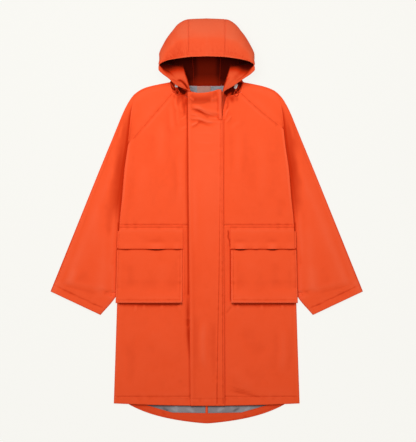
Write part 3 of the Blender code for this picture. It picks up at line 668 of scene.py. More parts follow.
def cordLine(middle, heading, ends):
    way = Vector(heading).normalized()
    across = Vector((0, 0, 1)).cross(way).normalized()
    centre = Vector(middle)
    strand = cordLook["strand"]
    down = [centre + way * a + across * strand for a in cordLook["places"]]
    turn = [centre + way * a + across * b for a, b in cordLoop]
    back = [centre + way * a - across * b for a, b in cordLoop[-2::-1]]
    up = [centre + way * a - across * strand for a in reversed(cordLook["places"])]
    points = [Vector(ends[0])] + down + turn + back + up + [Vector(ends[1])]
    return np.array([tuple(p) for p in points])


def hoodCord(word, lock):
    route = cordLine(**cordRoutes[word])
    line = along(route, np.linspace(0, 1, int(arc(route) / cordLook["diameter"]) + 24))
    curve = bpy.data.curves.new(f"drawcord {word}", "CURVE")
    curve.dimensions = "3D"
    curve.bevel_depth = cordLook["diameter"] / 2 * mm
    curve.bevel_resolution = 4
    curve.use_fill_caps = True
    spline = curve.splines.new("POLY")
    spline.points.add(len(line) - 1)
    for point, place in zip(spline.points, line * mm):
        point.co = (*place, 1)
    curve.materials.append(elastic)
    made = placed(f"drawcord_{word}", curve)
    tied(made, f"hood_cord_{word}")


lockLook = dict(half=(5.2, 8.4, 4.9), square=0.62, groove=0.033, grooveAt=0.35, grooveWidth=0.12,
                around=36, along=30, turn=dict(left=-0.25, right=-0.42))


def cordLock(word):                                  # a rounded barrel along its two strands
    route = cordRoutes[word]
    lean = Vector(route["heading"]).normalized()
    turn = lockLook["turn"][word]
    way = Matrix.Rotation(turn, 3, "Z") @ lean
    across = Vector((0, 0, 1)).cross(way).normalized()
    up = way.cross(across).normalized()
    a, b = np.meshgrid(np.linspace(0, 2 * math.pi, lockLook["around"], endpoint=False),
                       np.linspace(-math.pi / 2, math.pi / 2, lockLook["along"] + 2)[1:-1])
    power = lockLook["square"]
    bent = lambda value: np.sign(value) * np.abs(value) ** power
    away = (b - lockLook["grooveAt"]) / lockLook["grooveWidth"]
    ring = bent(np.cos(b)) - lockLook["groove"] * np.exp(-away ** 2)
    hx, hy, hz = lockLook["half"]
    parts = [(hx * ring * bent(np.cos(a)), across), (hy * bent(np.sin(b)), way), (hz * ring * bent(np.sin(a)), up)]
    points = np.array(route["middle"]) + sum(size[..., None] * np.array(axis) for size, axis in parts)
    n, m = lockLook["around"], lockLook["along"]
    index = np.arange(n * m).reshape(m, n)
    after = np.roll(index, -1, 1)
    faces = np.stack([index[:-1], after[:-1], after[1:], index[1:]], -1).reshape(-1, 4).tolist()
    faces += [index[0, ::-1].tolist(), index[-1].tolist()]
    made = meshPiece(f"cord_lock_{word}_barrel", points.reshape(-1, 3), faces, lockPlastic)
    tied(made, f"cord_lock_{word}")
    return made


for word in sides:
    hoodCord(word, cordLock(word))


frontLook = dict(step=4.0, wide=290.0, closeColumns=(61, 68, 80, 285), closeRows=(-579, -273, -20), lip=1.1,
                 calm=26.0, calmTop=24.0, hemStitch=22.0, waistStitch=-10.5, raglanStitch=3.2)


def frontSewing(side):
    s = side["sign"]
    edge = beside(side, -1.5, (-12, -60, -120, -180, -240, -300, -400, -500, -598))
    seam = [(s * x, y) for x, y in raglanLine(side, 12)]
    seam += [(2 * seam[-1][0] - seam[-2][0], 2 * seam[-1][1] - seam[-2][1])]
    return creases(
        (3.2, -0.9, 0, 56, cut["waist"], 289, cut["waist"]),
        (11, 0.5, 0, 56, cut["waist"], 289, cut["waist"], dict(pucker=15)),
        (2, -0.5, 0, 56, -579, 304, -578), (12, 0.4, 0, 56, -583, 304, -582, dict(pucker=19)), sign=s) + [
        crease(edge[::-1], 9, 0.25, 0, pucker=24), crease(seam, 7, -0.7, 0),
        crease(seam, 10, 0.55, 0, pucker=13)]


ownCreases = dict(
    left=creases(
        (6, -1.3, 0.35, -71, -90, -70, -200, -70, -330, -70, -470),
        (5, -1.1, 0.35, -69, 330, -69, 180, -68, 20, -68, -60),
        (4, 0.8, 0.35, -236, -274, -235, -286, -238, -300),
        (4, 0.6, 0.35, -206, -273, -207, -284, -206, -296),
        (5, 0.6, 0.35, -150, -273, -148, -282, -150, -294), (5, 0.7, 0.35, -94, -272, -90, -286, -84, -298),
        (5, -0.9, 0.35, -75, 400, -73, 370, -74, 340),
        (4.5, 1.5, 0.35, -84, 402, -86, 380, -82, 352, dict(lean=0.7)),
        (5, 1.3, 0.35, -104, 412, -103, 388, -98, 362),
        (4, 0.9, 0.35, -66, 352, -78, 340, -92, 334, dict(lean=0.5)),
        (5, 0.7, 0.35, -64, 318, -80, 306, -96, 302, dict(lean=0.5))),
    right=creases(
        (4.5, 1.2, 0.35, 60, 322, 74, 338, 86, 352, dict(lean=0.5)),
        (4, 1.4, 0.35, 60, 340, 66, 358, 76, 374, dict(lean=0.5)),
        (4, -1.2, 0.35, 62, 362, 70, 380, 72, 396), (9, 0.8, 0.35, 74, 300, 92, 318, 118, 334),
        (6, -1.2, 0.35, 71, -40, 70, -120, 71, -210), (5, 0.7, 0.35, 100, -273, 103, -284, 101, -296),
        (5, 0.6, 0.35, 180, -273, 182, -284, 180, -298), (4, 0.7, 0.35, 248, -273, 250, -284, 247, -296)),
)


def frontHeight(word, x, y):                         # top face of the front, x in the coat's own frame
    side = sides[word]
    calm = np.maximum(smoothStep((sideEdge(y) - side["sign"] * x) / frontLook["calm"]),
                      smoothStep((y - side["seam"][-1][1]) / frontLook["calmTop"]))
    own = relief(x, y, ownCreases[word]) + relief(x, y, frontSewing(side))
    return frontLevel(side, side["sign"] * x, y) + calm * bodyRelief(x, y) + own * calm


def neckPoints(spans):
    last = ribNumber["shoulder"]
    return through(np.arange(len(ribPoints)), ribPoints[:, -1, :2], np.linspace(0, last, last * spans + 1))


def frontPanel(word, part):
    side = sides[word]
    s, step, lip, wide = side["sign"], frontLook["step"], frontLook["lip"], frontLook["wide"]
    if part == "lower":
        y = spaced(cut["hemSide"], cut["waist"] - cut["seam"], step, frontLook["closeRows"])
        inner, outer = midline(y), foldLine(y, lip)
    else:
        endY = side["seam"][-1][1] - cut["seam"]
        y = spaced(cut["waist"], endY, step, [frontLook["waistStitch"]])
        neck = neckPoints(9)
        way = unit(np.gradient(neck, axis=0))
        neck = neck + 2 * cut["seam"] * np.column_stack([way[:, 1], -way[:, 0]])
        neck[0, 0] = cut["seam"] / 2
        neck[-1] -= 3 * cut["seam"]
        rise = np.linspace(endY, neck[0, 1], 12)[1:-1]
        inner = np.concatenate([midline(y), midline(rise), neck])
        outer = np.concatenate([foldLine(y, lip), raglanLine(side, len(rise) + len(neck))])
    share = spaced(0, wide, step, frontLook["closeColumns"])[None, :, None] / wide
    plan = inner[:, None] * (1 - share) + outer[:, None] * share
    x, yy = plan[..., 0], plan[..., 1]
    if part == "lower":
        dip = smoothStep((cut["hemSide"] + cut["frontRise"] - yy) / cut["frontRise"])
        yy = yy - cut["hemDip"] * dip * (1 - (x / x[:, -1:]) ** 2)
    top = frontHeight(word, s * x, yy)
    face = np.dstack([s * x, yy, top])
    below = lift(side, outer[:, 0] + lip, outer[:, 1])
    seamed = smoothStep((outer[:, 1] - side["seam"][-1][1] + 10) / 10)
    below = below + (top[:, -1] - cut["wall"] - below) * seamed
    face, back = folded(face, cut["wall"], below)
    clothPiece(f"front_{part}_{word}_cloth", face, back, [f"back_{word}"],
               marks=relief(face[..., 0], face[..., 1], frontMarks(side)), lips=7)


def frontMarks(side):                                # painted shadow in the gaps along the layers that lie on the front and along its sewing, and painted light beside its fold and raglan seam
    s = side["sign"]
    seam = [(s * x, y) for x, y in raglanLine(side, 12)]
    under = [(s * (x - 7), y - 7) for x, y in raglanLine(side, 12)[2:]]
    rows = [
        crease(beside(side, -5, (395, 340, 280, 200, 100, 20)), 2.6, -0.55, 0.2),
        crease(seam, 2, 0.50, 0.04), crease(under, 3, -0.30, 0.2)] + creases(
        (1.5, 0.25, 0, 66, -20.4, 288, -20.4), (1.5, 0.35, 0, 66, -10.4, 288, -10.4),
        (1.5, 0.4, 0, 64, -579, 303, -578), (6, 0.14, 0, 64, -588, 303, -587, dict(pucker=17)),
        (7, 0.95, 0.04, 84, -273, 190, -275, 294, -272), sign=s)
    if s < 0:
        rows += creases(
            (4, 0.95, 0.02, -62, 425, -63, 330, -62.5, 150, -61.5, -20, -60.5, -250),
            (1.6, 0.3, 0.1, -71, -22, -72, -140, -72, -262),
            (5.5, 0.9, 0.4, -61, -200, -62, -335, -58, -470), (3, 0.5, 0.1, -58, -340, -57, -480, -55, -600),
            (8, 0.35, 0.35, -70, 425, -72, 380, -70, 330), (12, 0.75, 0.35, -66, 430, -86, 414, -104, 418),
            (6, 0.42, 0.5, -92, 426, -94, 404, -90, 372), (6, 0.50, 0.5, -80, 426, -80, 398, -78, 362),
            (4, 0.5, 0.5, -104, 424, -107, 412, -106, 398), (4, 0.6, 0.5, -68, 416, -69, 396, -67, 372))
    else:
        rows += creases(
            (2.2, 0.45, 0, 57, 330, 56.5, 100, 57.5, -200, 60.5, -600),
            (2.8, 0.95, 0.15, 68, -26, 72, -40, 71, -52, 76, -66, 78, -92),
            (3, 0.95, 0.05, 78, -86, 78.5, -180, 79.5, -268),
            (3, 0.35, 0.35, 66, -556, 120, -568, 190, -584),
            (2.4, 0.25, 0.35, 72, -542, 108, -556, 150, -566), (7, 0.3, 0.35, 54, 424, 56, 396, 58, 366),
            (13, 0.7, 0.35, 60, 418, 80, 408, 100, 416), (5, 0.5, 0.5, 64, 404, 68, 396, 72, 382),
            (5, 0.5, 0.5, 80, 412, 84, 400, 86, 384), (4, 0.45, 0.5, 98, 416, 101, 404, 99, 390))
    return rows


def frontStitches(word):
    s, start = sides[word]["sign"], 62 if word == "left" else 60
    face = lambda x, y: frontHeight(word, x, y)
    waist, hem = frontLook["waistStitch"], cut["hemSide"] + frontLook["hemStitch"]
    sewOn(f"front_upper_{word}", [(s * start, waist), (s * 170, waist), (s * 284, waist)], face)
    sewOn(f"front_lower_{word}", [(s * start, hem - 6), (s * 170, hem - 2), (s * 296, hem)], face)
    sewOn(f"front_upper_{word}", (raglanLine(sides[word], 30)[3:-1] - frontLook["raglanStitch"]) * [s, 1], face)
    if word == "right":
        sewOn("front_lower_right", [(62.5, -20), (62.5, -300), (62.5, -590)], face)


for word in sides:
    frontPanel(word, "lower")
    frontPanel(word, "upper")
    frontStitches(word)
print("fronts made")


armLook = dict(rows=210, low=34, high=16, foot=2.2, swell=3.6, swellInner=58.0, swellOuter=46.0,
               capDip=(398.0, 45.0), rim=16.0, capRim=6.0, toeRim=22.0, openLoft=1.5, openRound=18.0)
armCreases = dict(
    left=creases(
        (26, -1, 0.35, -338, 96, -330, 20, -322, -70), (22, 1.1, 0.35, -372, 60, -366, -20, -372, -110),
        (12, 1.3, 0.35, -300, 60, -304, -60, -312, -180), (14, 1, 0.35, -300, 250, -312, 190, -318, 120),
        (34, -0.2, 0.35, -380, -100, -392, -180, -420, -232),
        (14, 0.9, 0.35, -436, -150, -446, -190, -462, -214),
        (9, -0.5, 0.35, -492, -222, -462, -233, -430, -248, dict(lean=0.6)),
        (16, 0.5, 0.35, -346, -190, -352, -230, -356, -268), (7, 0.8, 0.35, -278, 330, -284, 300, -288, 262)),
    right=creases(
        (26, -0.9, 0.35, 318, 110, 332, 20, 338, -60), (12, 1.1, 0.35, 300, 70, 304, -40, 314, -170),
        (26, 0.7, 0.35, 392, 20, 404, -60, 410, -130), (30, -0.3, 0.35, 366, -150, 382, -196, 402, -226),
        (16, 0.55, 0.35, 344, -130, 352, -190, 352, -250), (13, 1, 0.35, 290, 260, 306, 190, 314, 120),
        (9, -0.45, 0.35, 430, -246, 462, -232, 492, -221), (7, 0.7, 0.35, 272, 340, 280, 306, 288, 262)),
)


def sleeveLines(side):
    seam = along(np.array(side["seam"]), np.linspace(0, 1, cut["creaseStation"] + 1))
    inner = [tuple(p) for p in seam] + [side["underarm"]] + sleeveInner
    outer = np.array(sleeveOuter)

    def levelWith(point):
        shares = np.linspace(0.1, 1, 400)
        return shares[np.argmin(np.abs((along(outer, shares) - np.array(point)) @ np.array(cut["armWay"])))]

    shares = list(np.linspace(0, levelWith(side["seam"][-1]), cut["creaseStation"] + 1))
    shares += [levelWith(p) for p in inner[cut["creaseStation"] + 1:-2]] + [0.955, 1.0]
    return along(outer, shares), np.array(inner)


def creaseShare(start, end):                         # where a row meets the crease, and how far its end is clear
    shares = np.linspace(0, 1, 401)
    points = start + (end - start) * shares[:, None]
    past = points[:, 0] - sideEdge(points[:, 1])
    clear = float(smoothStep((past[-1] + 1) / 12))
    if (past > 0).all():
        return 0.93, clear
    k = int(np.argmin(past > 0))
    if k == 0:
        return 0.05, 0.0
    share = shares[k - 1] + (shares[k] - shares[k - 1]) * past[k - 1] / (past[k - 1] - past[k])
    return float(np.clip(share, 0.05, 0.93 + 0.065 * (1 - clear))), clear


def sleeveGrid(side, rows, low, high, foot):
    outerLine, innerLine = sleeveLines(side)
    numbers = np.arange(len(outerLine))
    station = np.linspace(0, numbers[-1], rows + 1)
    starts, ends = through(numbers, outerLine, station), through(numbers, innerLine, station)
    seam, past = np.array(side["seam"]), station <= cut["creaseStation"]
    ends[past] = along(seam, station[past] / cut["creaseStation"])
    plan, top, free = [], [], []
    for number, start, end in zip(station, starts, ends):
        share, clear = creaseShare(start, end)
        long = np.linalg.norm(end - start)
        toe = max(share - foot / long, share * 0.7)
        shares = np.concatenate([toe * low, share + (1 - share) * high])
        spots = start + (end - start) * shares[:, None]
        dip = smoothStep((armLook["capDip"][0] - spots[:, 1]) / armLook["capDip"][1])
        fromFold = rounded(shares * long / cut["sleeveRound"])
        apart = np.maximum(toe - shares, 0) * long
        fromCrease = rounded(apart / cut["creaseValley"])
        swell = armLook["swell"] * smoothStep(apart / armLook["swellInner"])
        swell = swell * smoothStep(shares * long / armLook["swellOuter"])
        swell = swell * smoothStep((440 - spots[:, 1]) / 60) * smoothStep((spots[:, 1] + 300) / 90)
        arm = sleeveLow + cut["sleeveLoft"] * fromFold * (1 - dip * (1 - fromCrease)) + swell
        beyond = smoothStep((cut["creaseStation"] - number) * 2)
        cap = sleeveLow + (frontFace - sleeveLow) * beyond * fromFold
        level = np.where(shares > toe + 1e-9, cap, arm)
        opened = rounded((1 - shares) * long / armLook["openRound"])
        opened = sleeveLow + (cut["sleeveLoft"] + armLook["openLoft"]) * fromFold * opened
        plan.append(spots)
        top.append(level * (1 - clear) + opened * clear)
        outer = smoothStep(shares * long / armLook["rim"])
        inCap = beyond * smoothStep((shares - share) * long / armLook["capRim"])
        outside = smoothStep((toe - shares) * long / armLook["toeRim"]) * outer * (1 - clear)
        outside = outside + clear * smoothStep((1 - shares) * long / armLook["rim"]) * outer
        free.append(np.where(shares > toe + 1e-9, np.maximum(inCap, outside * clear), outside))
    return np.array(plan), np.array(top), np.array(free)


def sleeve(word):
    side = sides[word]
    s = side["sign"]
    low = np.concatenate([np.linspace(0, 0.12, 7), np.linspace(0.12, 0.9, armLook["low"] - 12)[1:],
                          np.linspace(0.9, 1, 8)[1:]])
    high = np.concatenate([np.linspace(0, 0.12, 6), np.linspace(0.12, 1, armLook["high"] - 5)[1:]])
    plan, top, free = sleeveGrid(side, armLook["rows"], low, high, armLook["foot"])
    x, y = s * plan[..., 0], plan[..., 1]
    tiny = 0.22 * softNoise(x, y, 46, 8) + 0.08 * softNoise(x, y, 16, 9)
    cuff = [(s * 500, -212.6), (s * 418, -251.3), (s * 336, -289.9)]
    raglan = [(s * px, py) for px, py in np.array(side["seam"])[:-1] + 0.3]
    marks = [
        crease(cuff, 2.2, -0.6, 0), crease(cuff, 9, 0.35, 0, pucker=12), crease(raglan, 8, -0.6, 0.1),
        crease(raglan, 10, 0.4, 0.1, pucker=12)]
    marks += creases((16, 0.5, 0.35, 130, 449, 190, 434, 232, 402, 246, 372), sign=s)
    top = top + free * (relief(x, y, armCreases[word]) + relief(x, y, marks) + tiny)
    face = np.dstack([x, y, top])
    face, back = folded(face, cut["wall"], np.full(len(face), 0.0), first=True)
    station = np.linspace(0, len(sleeveInner) + cut["creaseStation"] + 1, len(face))
    tube = smoothStep((station - cut["creaseStation"] - 3.5) / 0.8)
    below = (face[:, -1, 2] - cut["wall"]) * (1 - tube)
    rolled, under = folded(face, cut["wall"], below)
    extra = rolled.shape[1] - face.shape[1]
    under = np.concatenate([back, under[:, -extra:]], axis=1)
    clothPiece(f"sleeve_front_{word}_cloth", rolled, under, [f"sleeve_back_{word}"],
               marks=relief(rolled[..., 0], rolled[..., 1], armMarks(side)), lips=7)
    cuffLine = resampled(cuff, stitch["step"])
    nearest = ((face[None, :, :, 0] - cuffLine[:, None, None, 0]) ** 2
               + (face[None, :, :, 1] - cuffLine[:, None, None, 1]) ** 2)
    z = face[..., 2].ravel()[nearest.reshape(len(cuffLine), -1).argmin(axis=1)]
    sewingLine(f"sleeve_front_{word}", np.column_stack([cuffLine, z + 0.15])[2:-2])


def armMarks(side):                                  # painted shade in the valley along the body and along the cuff's sewing, and painted light to ease the sleeve's shade beside the pocket
    s = side["sign"]
    return [
        crease(beside(side, 3, (394, 350, 300, 240, 170, 90, 20, -40)), 5, 0.58, 0.12),
        crease(beside(side, 13, (396, 340, 280, 200, 120, 40, -20)), 21, 0.56, 0.25),
        crease(beside(side, 30, (320, 240, 170, 90, 0, -90) if s < 0 else (340, 290, 230, 170, 120, 70)), 26, 0.26),
        crease(beside(side, 2.5, (0, -30, -60, -92)), 4.5, 0.80, 0.1),
        crease(beside(side, 3.5, (-84, -140, -200, -250)), 4.5, 0.55, 0.1)] + creases(
        (6, -0.45, 0.1, 312, -140, 312.5, -190, 313, -230), (8, -0.8, 0, 300, -236, 308, -236, 312, -242),
        (1.8, 0.30, 0, 503, -213, 421, -252, 352, -284), (7, 0.14, 0.4, 505, -218, 472, -234, 436, -250),
        sign=s)


def sleeveBack(word):
    side = sides[word]
    plan, _, _ = sleeveGrid(side, 60, np.linspace(0, 1, 9), np.linspace(0.15, 1, 6), 4.0)
    middle = plan.mean(axis=1, keepdims=True)
    plan = middle + (plan - middle) * 0.985
    layer(f"sleeve_back_{word}_cloth", side["sign"] * plan[..., 0], plan[..., 1],
          np.full(plan.shape[:2], cut["wall"]), cut["wall"] - 0.05, [])


for word in sides:
    sleeve(word)
    sleeveBack(word)
print("sleeves made")


backLook = dict(step=9.0, pull=1.6, dipEnd=-500.0,
                wide=290.0, fine=18.0)               # closer rows below dipEnd, and in the fine part by the fold


def backPanel(word):
    side = sides[word]
    s = side["sign"]
    endY = side["seam"][-1][1] - cut["seam"]
    dipEnd, step, wide, fine = (backLook[word] for word in ("dipEnd", "step", "wide", "fine"))
    y = np.concatenate([np.linspace(cut["hemSide"], dipEnd, 18)[:-1],
                        np.linspace(dipEnd, endY, int((endY - dipEnd) / step))])
    seam = raglanLine(side, 30)
    start = midline(np.linspace(endY, cut["nape"], len(seam) + 1)[1:])
    even = 1 - fine / wide
    share = np.concatenate([np.linspace(0, even, int(wide / step)), np.linspace(even, 1, 9)[1:]])
    low = midline(y)[:, None] * (1 - share[None, :, None]) \
        + foldLine(y, backLook["pull"])[:, None] * share[None, :, None]
    x = low[..., 0]
    hem = smoothStep((cut["hemSide"] + cut["backRise"] - low[..., 1]) / cut["backRise"])
    low[..., 1] -= hem * cut["backDrop"] * backDip(x)
    upper = start[:, None] * (1 - share[None, :, None]) + seam[:, None] * share[None, :, None]
    toNeck = np.linspace(0, 1, len(seam))[:, None] ** 3
    upper[..., 1] += toNeck * (1 - share ** 3) * (cut["nape"] - upper[..., 1])
    plan = np.concatenate([low, upper])
    top = cut["wall"] + lift(side, plan[..., 0], plan[..., 1])
    layer(f"back_{word}_cloth", s * plan[..., 0], plan[..., 1], top, cut["wall"], [])


for word in sides:
    backPanel(word)

hemLook = dict(half=258.0, topX=[0, 114, 188, 236], topY=[-634.5, -632.5, -611.0, -596.0],
               lining=(4.4, 214.0, -590.0))


def hemRelief(x, y):
    return 0.18 * softNoise(x, y, 22, 12) + 0.25


def hemFacing():
    x = np.linspace(-hemLook["half"], hemLook["half"], 150)
    low = cut["hemSide"] - (cut["backDrop"] - 2 * cut["seam"]) * backDip(x)
    high = np.maximum(np.interp(np.abs(x), hemLook["topX"], hemLook["topY"]), low + 4)
    share = np.linspace(0, 1, 12)[:, None]
    y = low * (1 - share) + high * share
    xx = np.broadcast_to(x, y.shape)
    top = onBack + hemRelief(xx, y) + 0.5 * np.exp(-((share - 0.1) / 0.2) ** 2)
    # painted shade: the facing darker all over and most near its top under the front's hem, and along its lower
    # sewing and in two creases
    marks = 0.22 + 0.6 * smoothStep((y + 617) / 12) + relief(xx, y, creases(
        (1.8, 0.3, 0, -230, -614, -120, -648, 0, -662, 120, -648, 230, -614),
        (4, 0.3, 0.35, 120, -640, 132, -648, 140, -652), (4, 0.25, 0.35, -150, -626, -140, -636, -134, -642)))
    layer("hem_facing_cloth", xx, y, top, cut["thin"], ["back_left", "back_right"], marks=marks)
    edge = high[4:-4] - 2.2
    sewingLine("hem_facing", np.column_stack([x[4:-4], edge, onBack + hemRelief(x[4:-4], edge) + 0.25]))
    foot = low[4:-4] + 3.5
    sewingLine("hem_facing", np.column_stack([x[4:-4], foot, onBack + hemRelief(x[4:-4], foot) + 0.6]))


hemFacing()
for word, side in sides.items():
    x = np.linspace(hemLook["lining"][0], hemLook["lining"][1], 60)
    low = np.interp(x, hemLook["topX"], hemLook["topY"]) + 2 * cut["seam"]
    share = np.linspace(0, 1, 14)[:, None]
    y = low * (1 - share) + hemLook["lining"][2] * share
    xx = side["sign"] * np.broadcast_to(x, y.shape)
    folds = relief(xx, y, creases(
        (5, 0.5, 0.35, -40, -632, -60, -612), (6, 0.6, 0.35, -96, -630, -104, -606),
        (5, 0.5, 0.35, 34, -630, 52, -610), (7, 0.5, 0.35, 88, -628, 80, -606)))
    # painted shadow under the front's hem, painted shade in some folds and painted light on others
    marks = 0.75 * smoothStep((y + 616) / 9) + relief(xx, y, creases(
        (3.5, -0.5, 0.35, -38, -634, -70, -616), (4, -0.4, 0.35, -92, -632, -120, -615),
        (4, 0.3, 0.35, -122, -628, -150, -614), (4, -0.4, 0.35, 30, -632, 62, -614),
        (3.5, 0.35, 0.35, 84, -630, 112, -614), (4, -0.35, 0.35, 120, -628, 146, -613)))
    layer(f"hem_lining_{word}_cloth", xx, y, onBack + hemRelief(xx, y) + folds, cut["thin"], [f"back_{word}"],
          finish=coatedLining, slot="lining_coating", marks=marks)
x, y = np.meshgrid(np.linspace(-3.2, 3.2, 7), np.linspace(-634.2, -590.0, 24))
layer("back_seam_tape_cloth", x - 0.4, y, onBack + 0.5 + 0.35 * np.cos(x / 3.4) + 0 * y, cut["thin"],
      ["back_left", "back_right"])
x, y = np.meshgrid(np.linspace(-78, 78, 90), np.linspace(385, 445, 36))
neckFolds = creases(
    (2.2, 1.6, 0.35, -52, 440, -40, 437, -30, 438, dict(lean=0.5)), (2.5, 1, 0.35, -50, 433, -38, 430),
    (3, 1.1, 0.35, 20, 441, 34, 436, 48, 438), (2.6, 0.9, 0.35, 18, 431, 36, 429))
layer("neck_lining_cloth", x, y, onBack + relief(x, y, neckFolds), cut["thin"], ["back_left", "back_right"],
      finish=neckCloth, slot="lining_coating")
x, y = np.meshgrid(np.linspace(-31.5, 13.0, 40), np.linspace(402, 444.5, 30))
labelTop = onBack + cut["seam"] + cut["labelWall"] + 0.4 * softNoise(x, y, 16, 15) + 0.4
layer("neck_label_tape", x, y, labelTop, cut["labelWall"], ["neck_lining"], finish=labelTape, slot="label_tape",
      node="neck_label")
print("back made")


placket = dict(
    y=[-609.5, -14, 326, 334, 338, 426],
    left=[-53.5, -58.5, -61.3, -61.5, -61.6, -62],
    right=[58.5, 55, 52.8, 52.5, 40.5, 39],
)
throat = dict(
    y=[-620, 310, 338, 354, 371, 388, 403, 417, 436],
    top=[9.3, 9.3, 10.9, 15.2, 20.9, 28.3, 36.5, 44.5, 55.1],
)
throatFolds = [
    dict(start=(-62, 394), end=(39, 404), width=10.0, step=1.5),
    dict(start=(-38, 372), end=(44, 348), width=6.0, step=1.8),
    dict(start=(-56, 337), end=(32, 322), width=6.0, step=0.9),
]
flapHead = dict(start=345.0, length=81.0, slant=8.0, sag=30.8)
flapLook = dict(step=3.6, wide=116.0, middle=60.0, close=(-55, 37, 43, 52), foldStart=280.0, foldEnd=334.0,
                headStart=338.0, lowRows=225, foldRows=34, headRows=56, deep=0.28, deepFrom=-150.0, deepWidth=300.0)
flapCreases = creases(
    (7.5, 3.6, 0.35, -58, 372, -34, 371, 0, 356, 39, 345, dict(lean=0.34)),
    (7, 3, 0.35, -56, 338, -28, 336, 4, 326, 36, 323, dict(lean=0.32)),
    (6, 2.2, 0.35, -57, 311, -44, 318, -24, 329, dict(lean=0.4)),
    (4, 1.6, 0.35, 0, 341, 20, 338, 42, 334, dict(lean=0.45)),
    (4, 1.3, 0.35, -58, 352, -40, 350, -24, 343, dict(lean=0.5)),
    (5, 1.6, 0.35, -60, 408, -52, 404, -40, 396, dict(lean=0.5)), (6, 1.8, 0.35, 36, 412, 26, 402, 10, 396),
    (4, 0.45, 0.35, -54, 294, -10, 290, 44, 288), (4.5, 0.40, 0.35, -50, 262, 0, 258, 46, 262),
    (5, 0.35, 0.35, -52, 228, 6, 224, 48, 230),
    (4.5, 0.9, 0, -57, 430, -57, 200, -55, -14, -51, -300, -49, -606),
    (7, 1, 0.35, -54, -300, -52, -334, -50, -366), (10, 0.6, 0.35, -44, 170, -40, 40, -38, -120))
flapStitches = [[(45.5, 334), (44.5, 120), (41, -160), (36.5, -400), (34, -600)],
                [(50.3, 330), (50.4, 120), (51.5, -160), (53.0, -400), (54.2, -600)]]
# painted shade along the flap's sewing and in the folds of the throat
flapMarks = [crease(path, 1.5, 0.4, 0) for path in flapStitches]
flapMarks += creases(
    (14, 0.72, 0.1, -66, 412, -34, 403, -6, 404, 16, 412, 40, 428),
    (3.5, 0.22, 0.3, -60, 392, -30, 387, -4, 391, 14, 402), (4.5, 0.75, 0.35, 30, 343, 39, 337, 47, 341),
    (5, 0.6, 0.35, -56, 361, -30, 361, 4, 345, 38, 336),
    (5, 0.55, 0.35, -56, 328, -26, 326, 8, 316, 36, 315), (4, 0.45, 0.35, -56, 304, -42, 310, -22, 321),
    (3, 0.5, 0.35, 35, 420, 36, 380, 36, 338))


def flapTop(x, y):
    top = lookup(throat, "y", "top", y)
    for fold in throatFolds:
        (x0, y0), (x1, y1) = fold["start"], fold["end"]
        span = math.hypot(x1 - x0, y1 - y0)
        above = ((x1 - x0) * (y - y0) - (y1 - y0) * (x - x0)) / span / fold["width"]
        share = ((x1 - x0) * (x - x0) + (y1 - y0) * (y - y0)) / span ** 2
        fade = smoothStep((share + 0.25) / 0.3) * smoothStep((1.25 - share) / 0.3)
        top = top + fold["step"] * fade * above * np.exp(0.5 - above ** 2 / 2)
    top = np.maximum(top, throat["top"][0])
    sewing = [crease(path, 1.8, -0.45, 0) for path in flapStitches]
    sewing += [crease(path, 7, 0.35, 0, pucker=12) for path in flapStitches]
    sewing += creases(
        (2, -0.4, 0, -52, -586, 0, -587, 56, -586),
        (9, 0.5, 0, -52, -592, 0, -593, 56, -592, dict(pucker=10)))
    return top + bodyRelief(x, y) * smoothStep((360 - y) / 60) + relief(x, y, flapCreases) + relief(x, y, sewing)


def stormFlap():
    look, wide, middle = flapLook, flapLook["wide"], flapLook["middle"]
    rows = np.concatenate([np.linspace(placket["y"][0], look["foldStart"], look["lowRows"])[:-1],
                           np.linspace(look["foldStart"], look["foldEnd"], look["foldRows"]),
                           np.linspace(look["headStart"], placket["y"][-1], look["headRows"])])
    share = spaced(-middle, wide - middle, look["step"], look["close"]) / wide + middle / wide
    left = lookup(placket, "y", "left", rows)[:, None]
    right = lookup(placket, "y", "right", rows)[:, None]
    x = left + (right - left) * share
    y = np.repeat(rows[:, None], len(share), axis=1)
    head = smoothStep((y - flapHead["start"]) / flapHead["length"])
    y = y + head * (flapHead["slant"] * share - flapHead["sag"] * share * (1 - share))
    # painted shade from the marks, and the flap painted paler towards the top as painted light
    layer("storm_flap_cloth", x, y, flapTop(x, y), cut["flapWall"],
          ["front_upper_left", "front_lower_left", "front_upper_right", "front_lower_right"],
          marks=relief(x, y, flapMarks) - look["deep"] * smoothStep((y - look["deepFrom"]) / look["deepWidth"]))
    for path in flapStitches + [[(-50, -586), (0, -587), (54, -586)]]:
        sewOn("storm_flap", path, flapTop)


stormFlap()
print("storm flap made")


pocketLook = dict(inner=80.5, outerTop=294.0, outerLow=300.5, top=-34.0, bottom=-270.5, slope=90.0, step=4.4,
                  wide=214.0, middle=190.0, flat=98.0, flatLow=-262.0, bellows=1.3, footRise=8.0, footFrom=-196.0,
                  side=[(4.5, 0.0), (2.0, 0.12), (0.2, 0.35), (-0.3, 0.62), (0.3, 0.86), (1.5, 0.97), (3.2, 1.0)])
pocketCreases = dict(
    left=creases(
        (20, -1, 0.35, -250, -130, -252, -180, -248, -230),
        (26, 0.9, 0.35, -150, -120, -146, -180, -150, -240), (6, 0.5, 0.35, -92, -110, -90, -190, -92, -250),
        (6, 0.4, 0.35, -286, -110, -288, -190, -289, -250)),
    right=creases(
        (26, 0.9, 0.35, 150, -110, 146, -180, 152, -240), (24, -0.9, 0.35, 230, -120, 226, -190, 232, -236),
        (6, 0.5, 0.35, 94, -110, 93, -190, 94, -250), (6, 0.4, 0.35, 284, -110, 286, -190, 288, -250)),
)


def pocketLevel(y):
    return mouthFace + (pocketFace - mouthFace) * smoothStep((pocketLook["top"] - y) / pocketLook["slope"])


def pocketSewing(s):
    return [[(s * 88, -96), (s * 88, -180), (s * 88.5, -258)], [(s * 290, -96), (s * 293, -180), (s * 295, -258)],
            [(s * 88.5, -260), (s * 190, -261), (s * 293, -260)]]


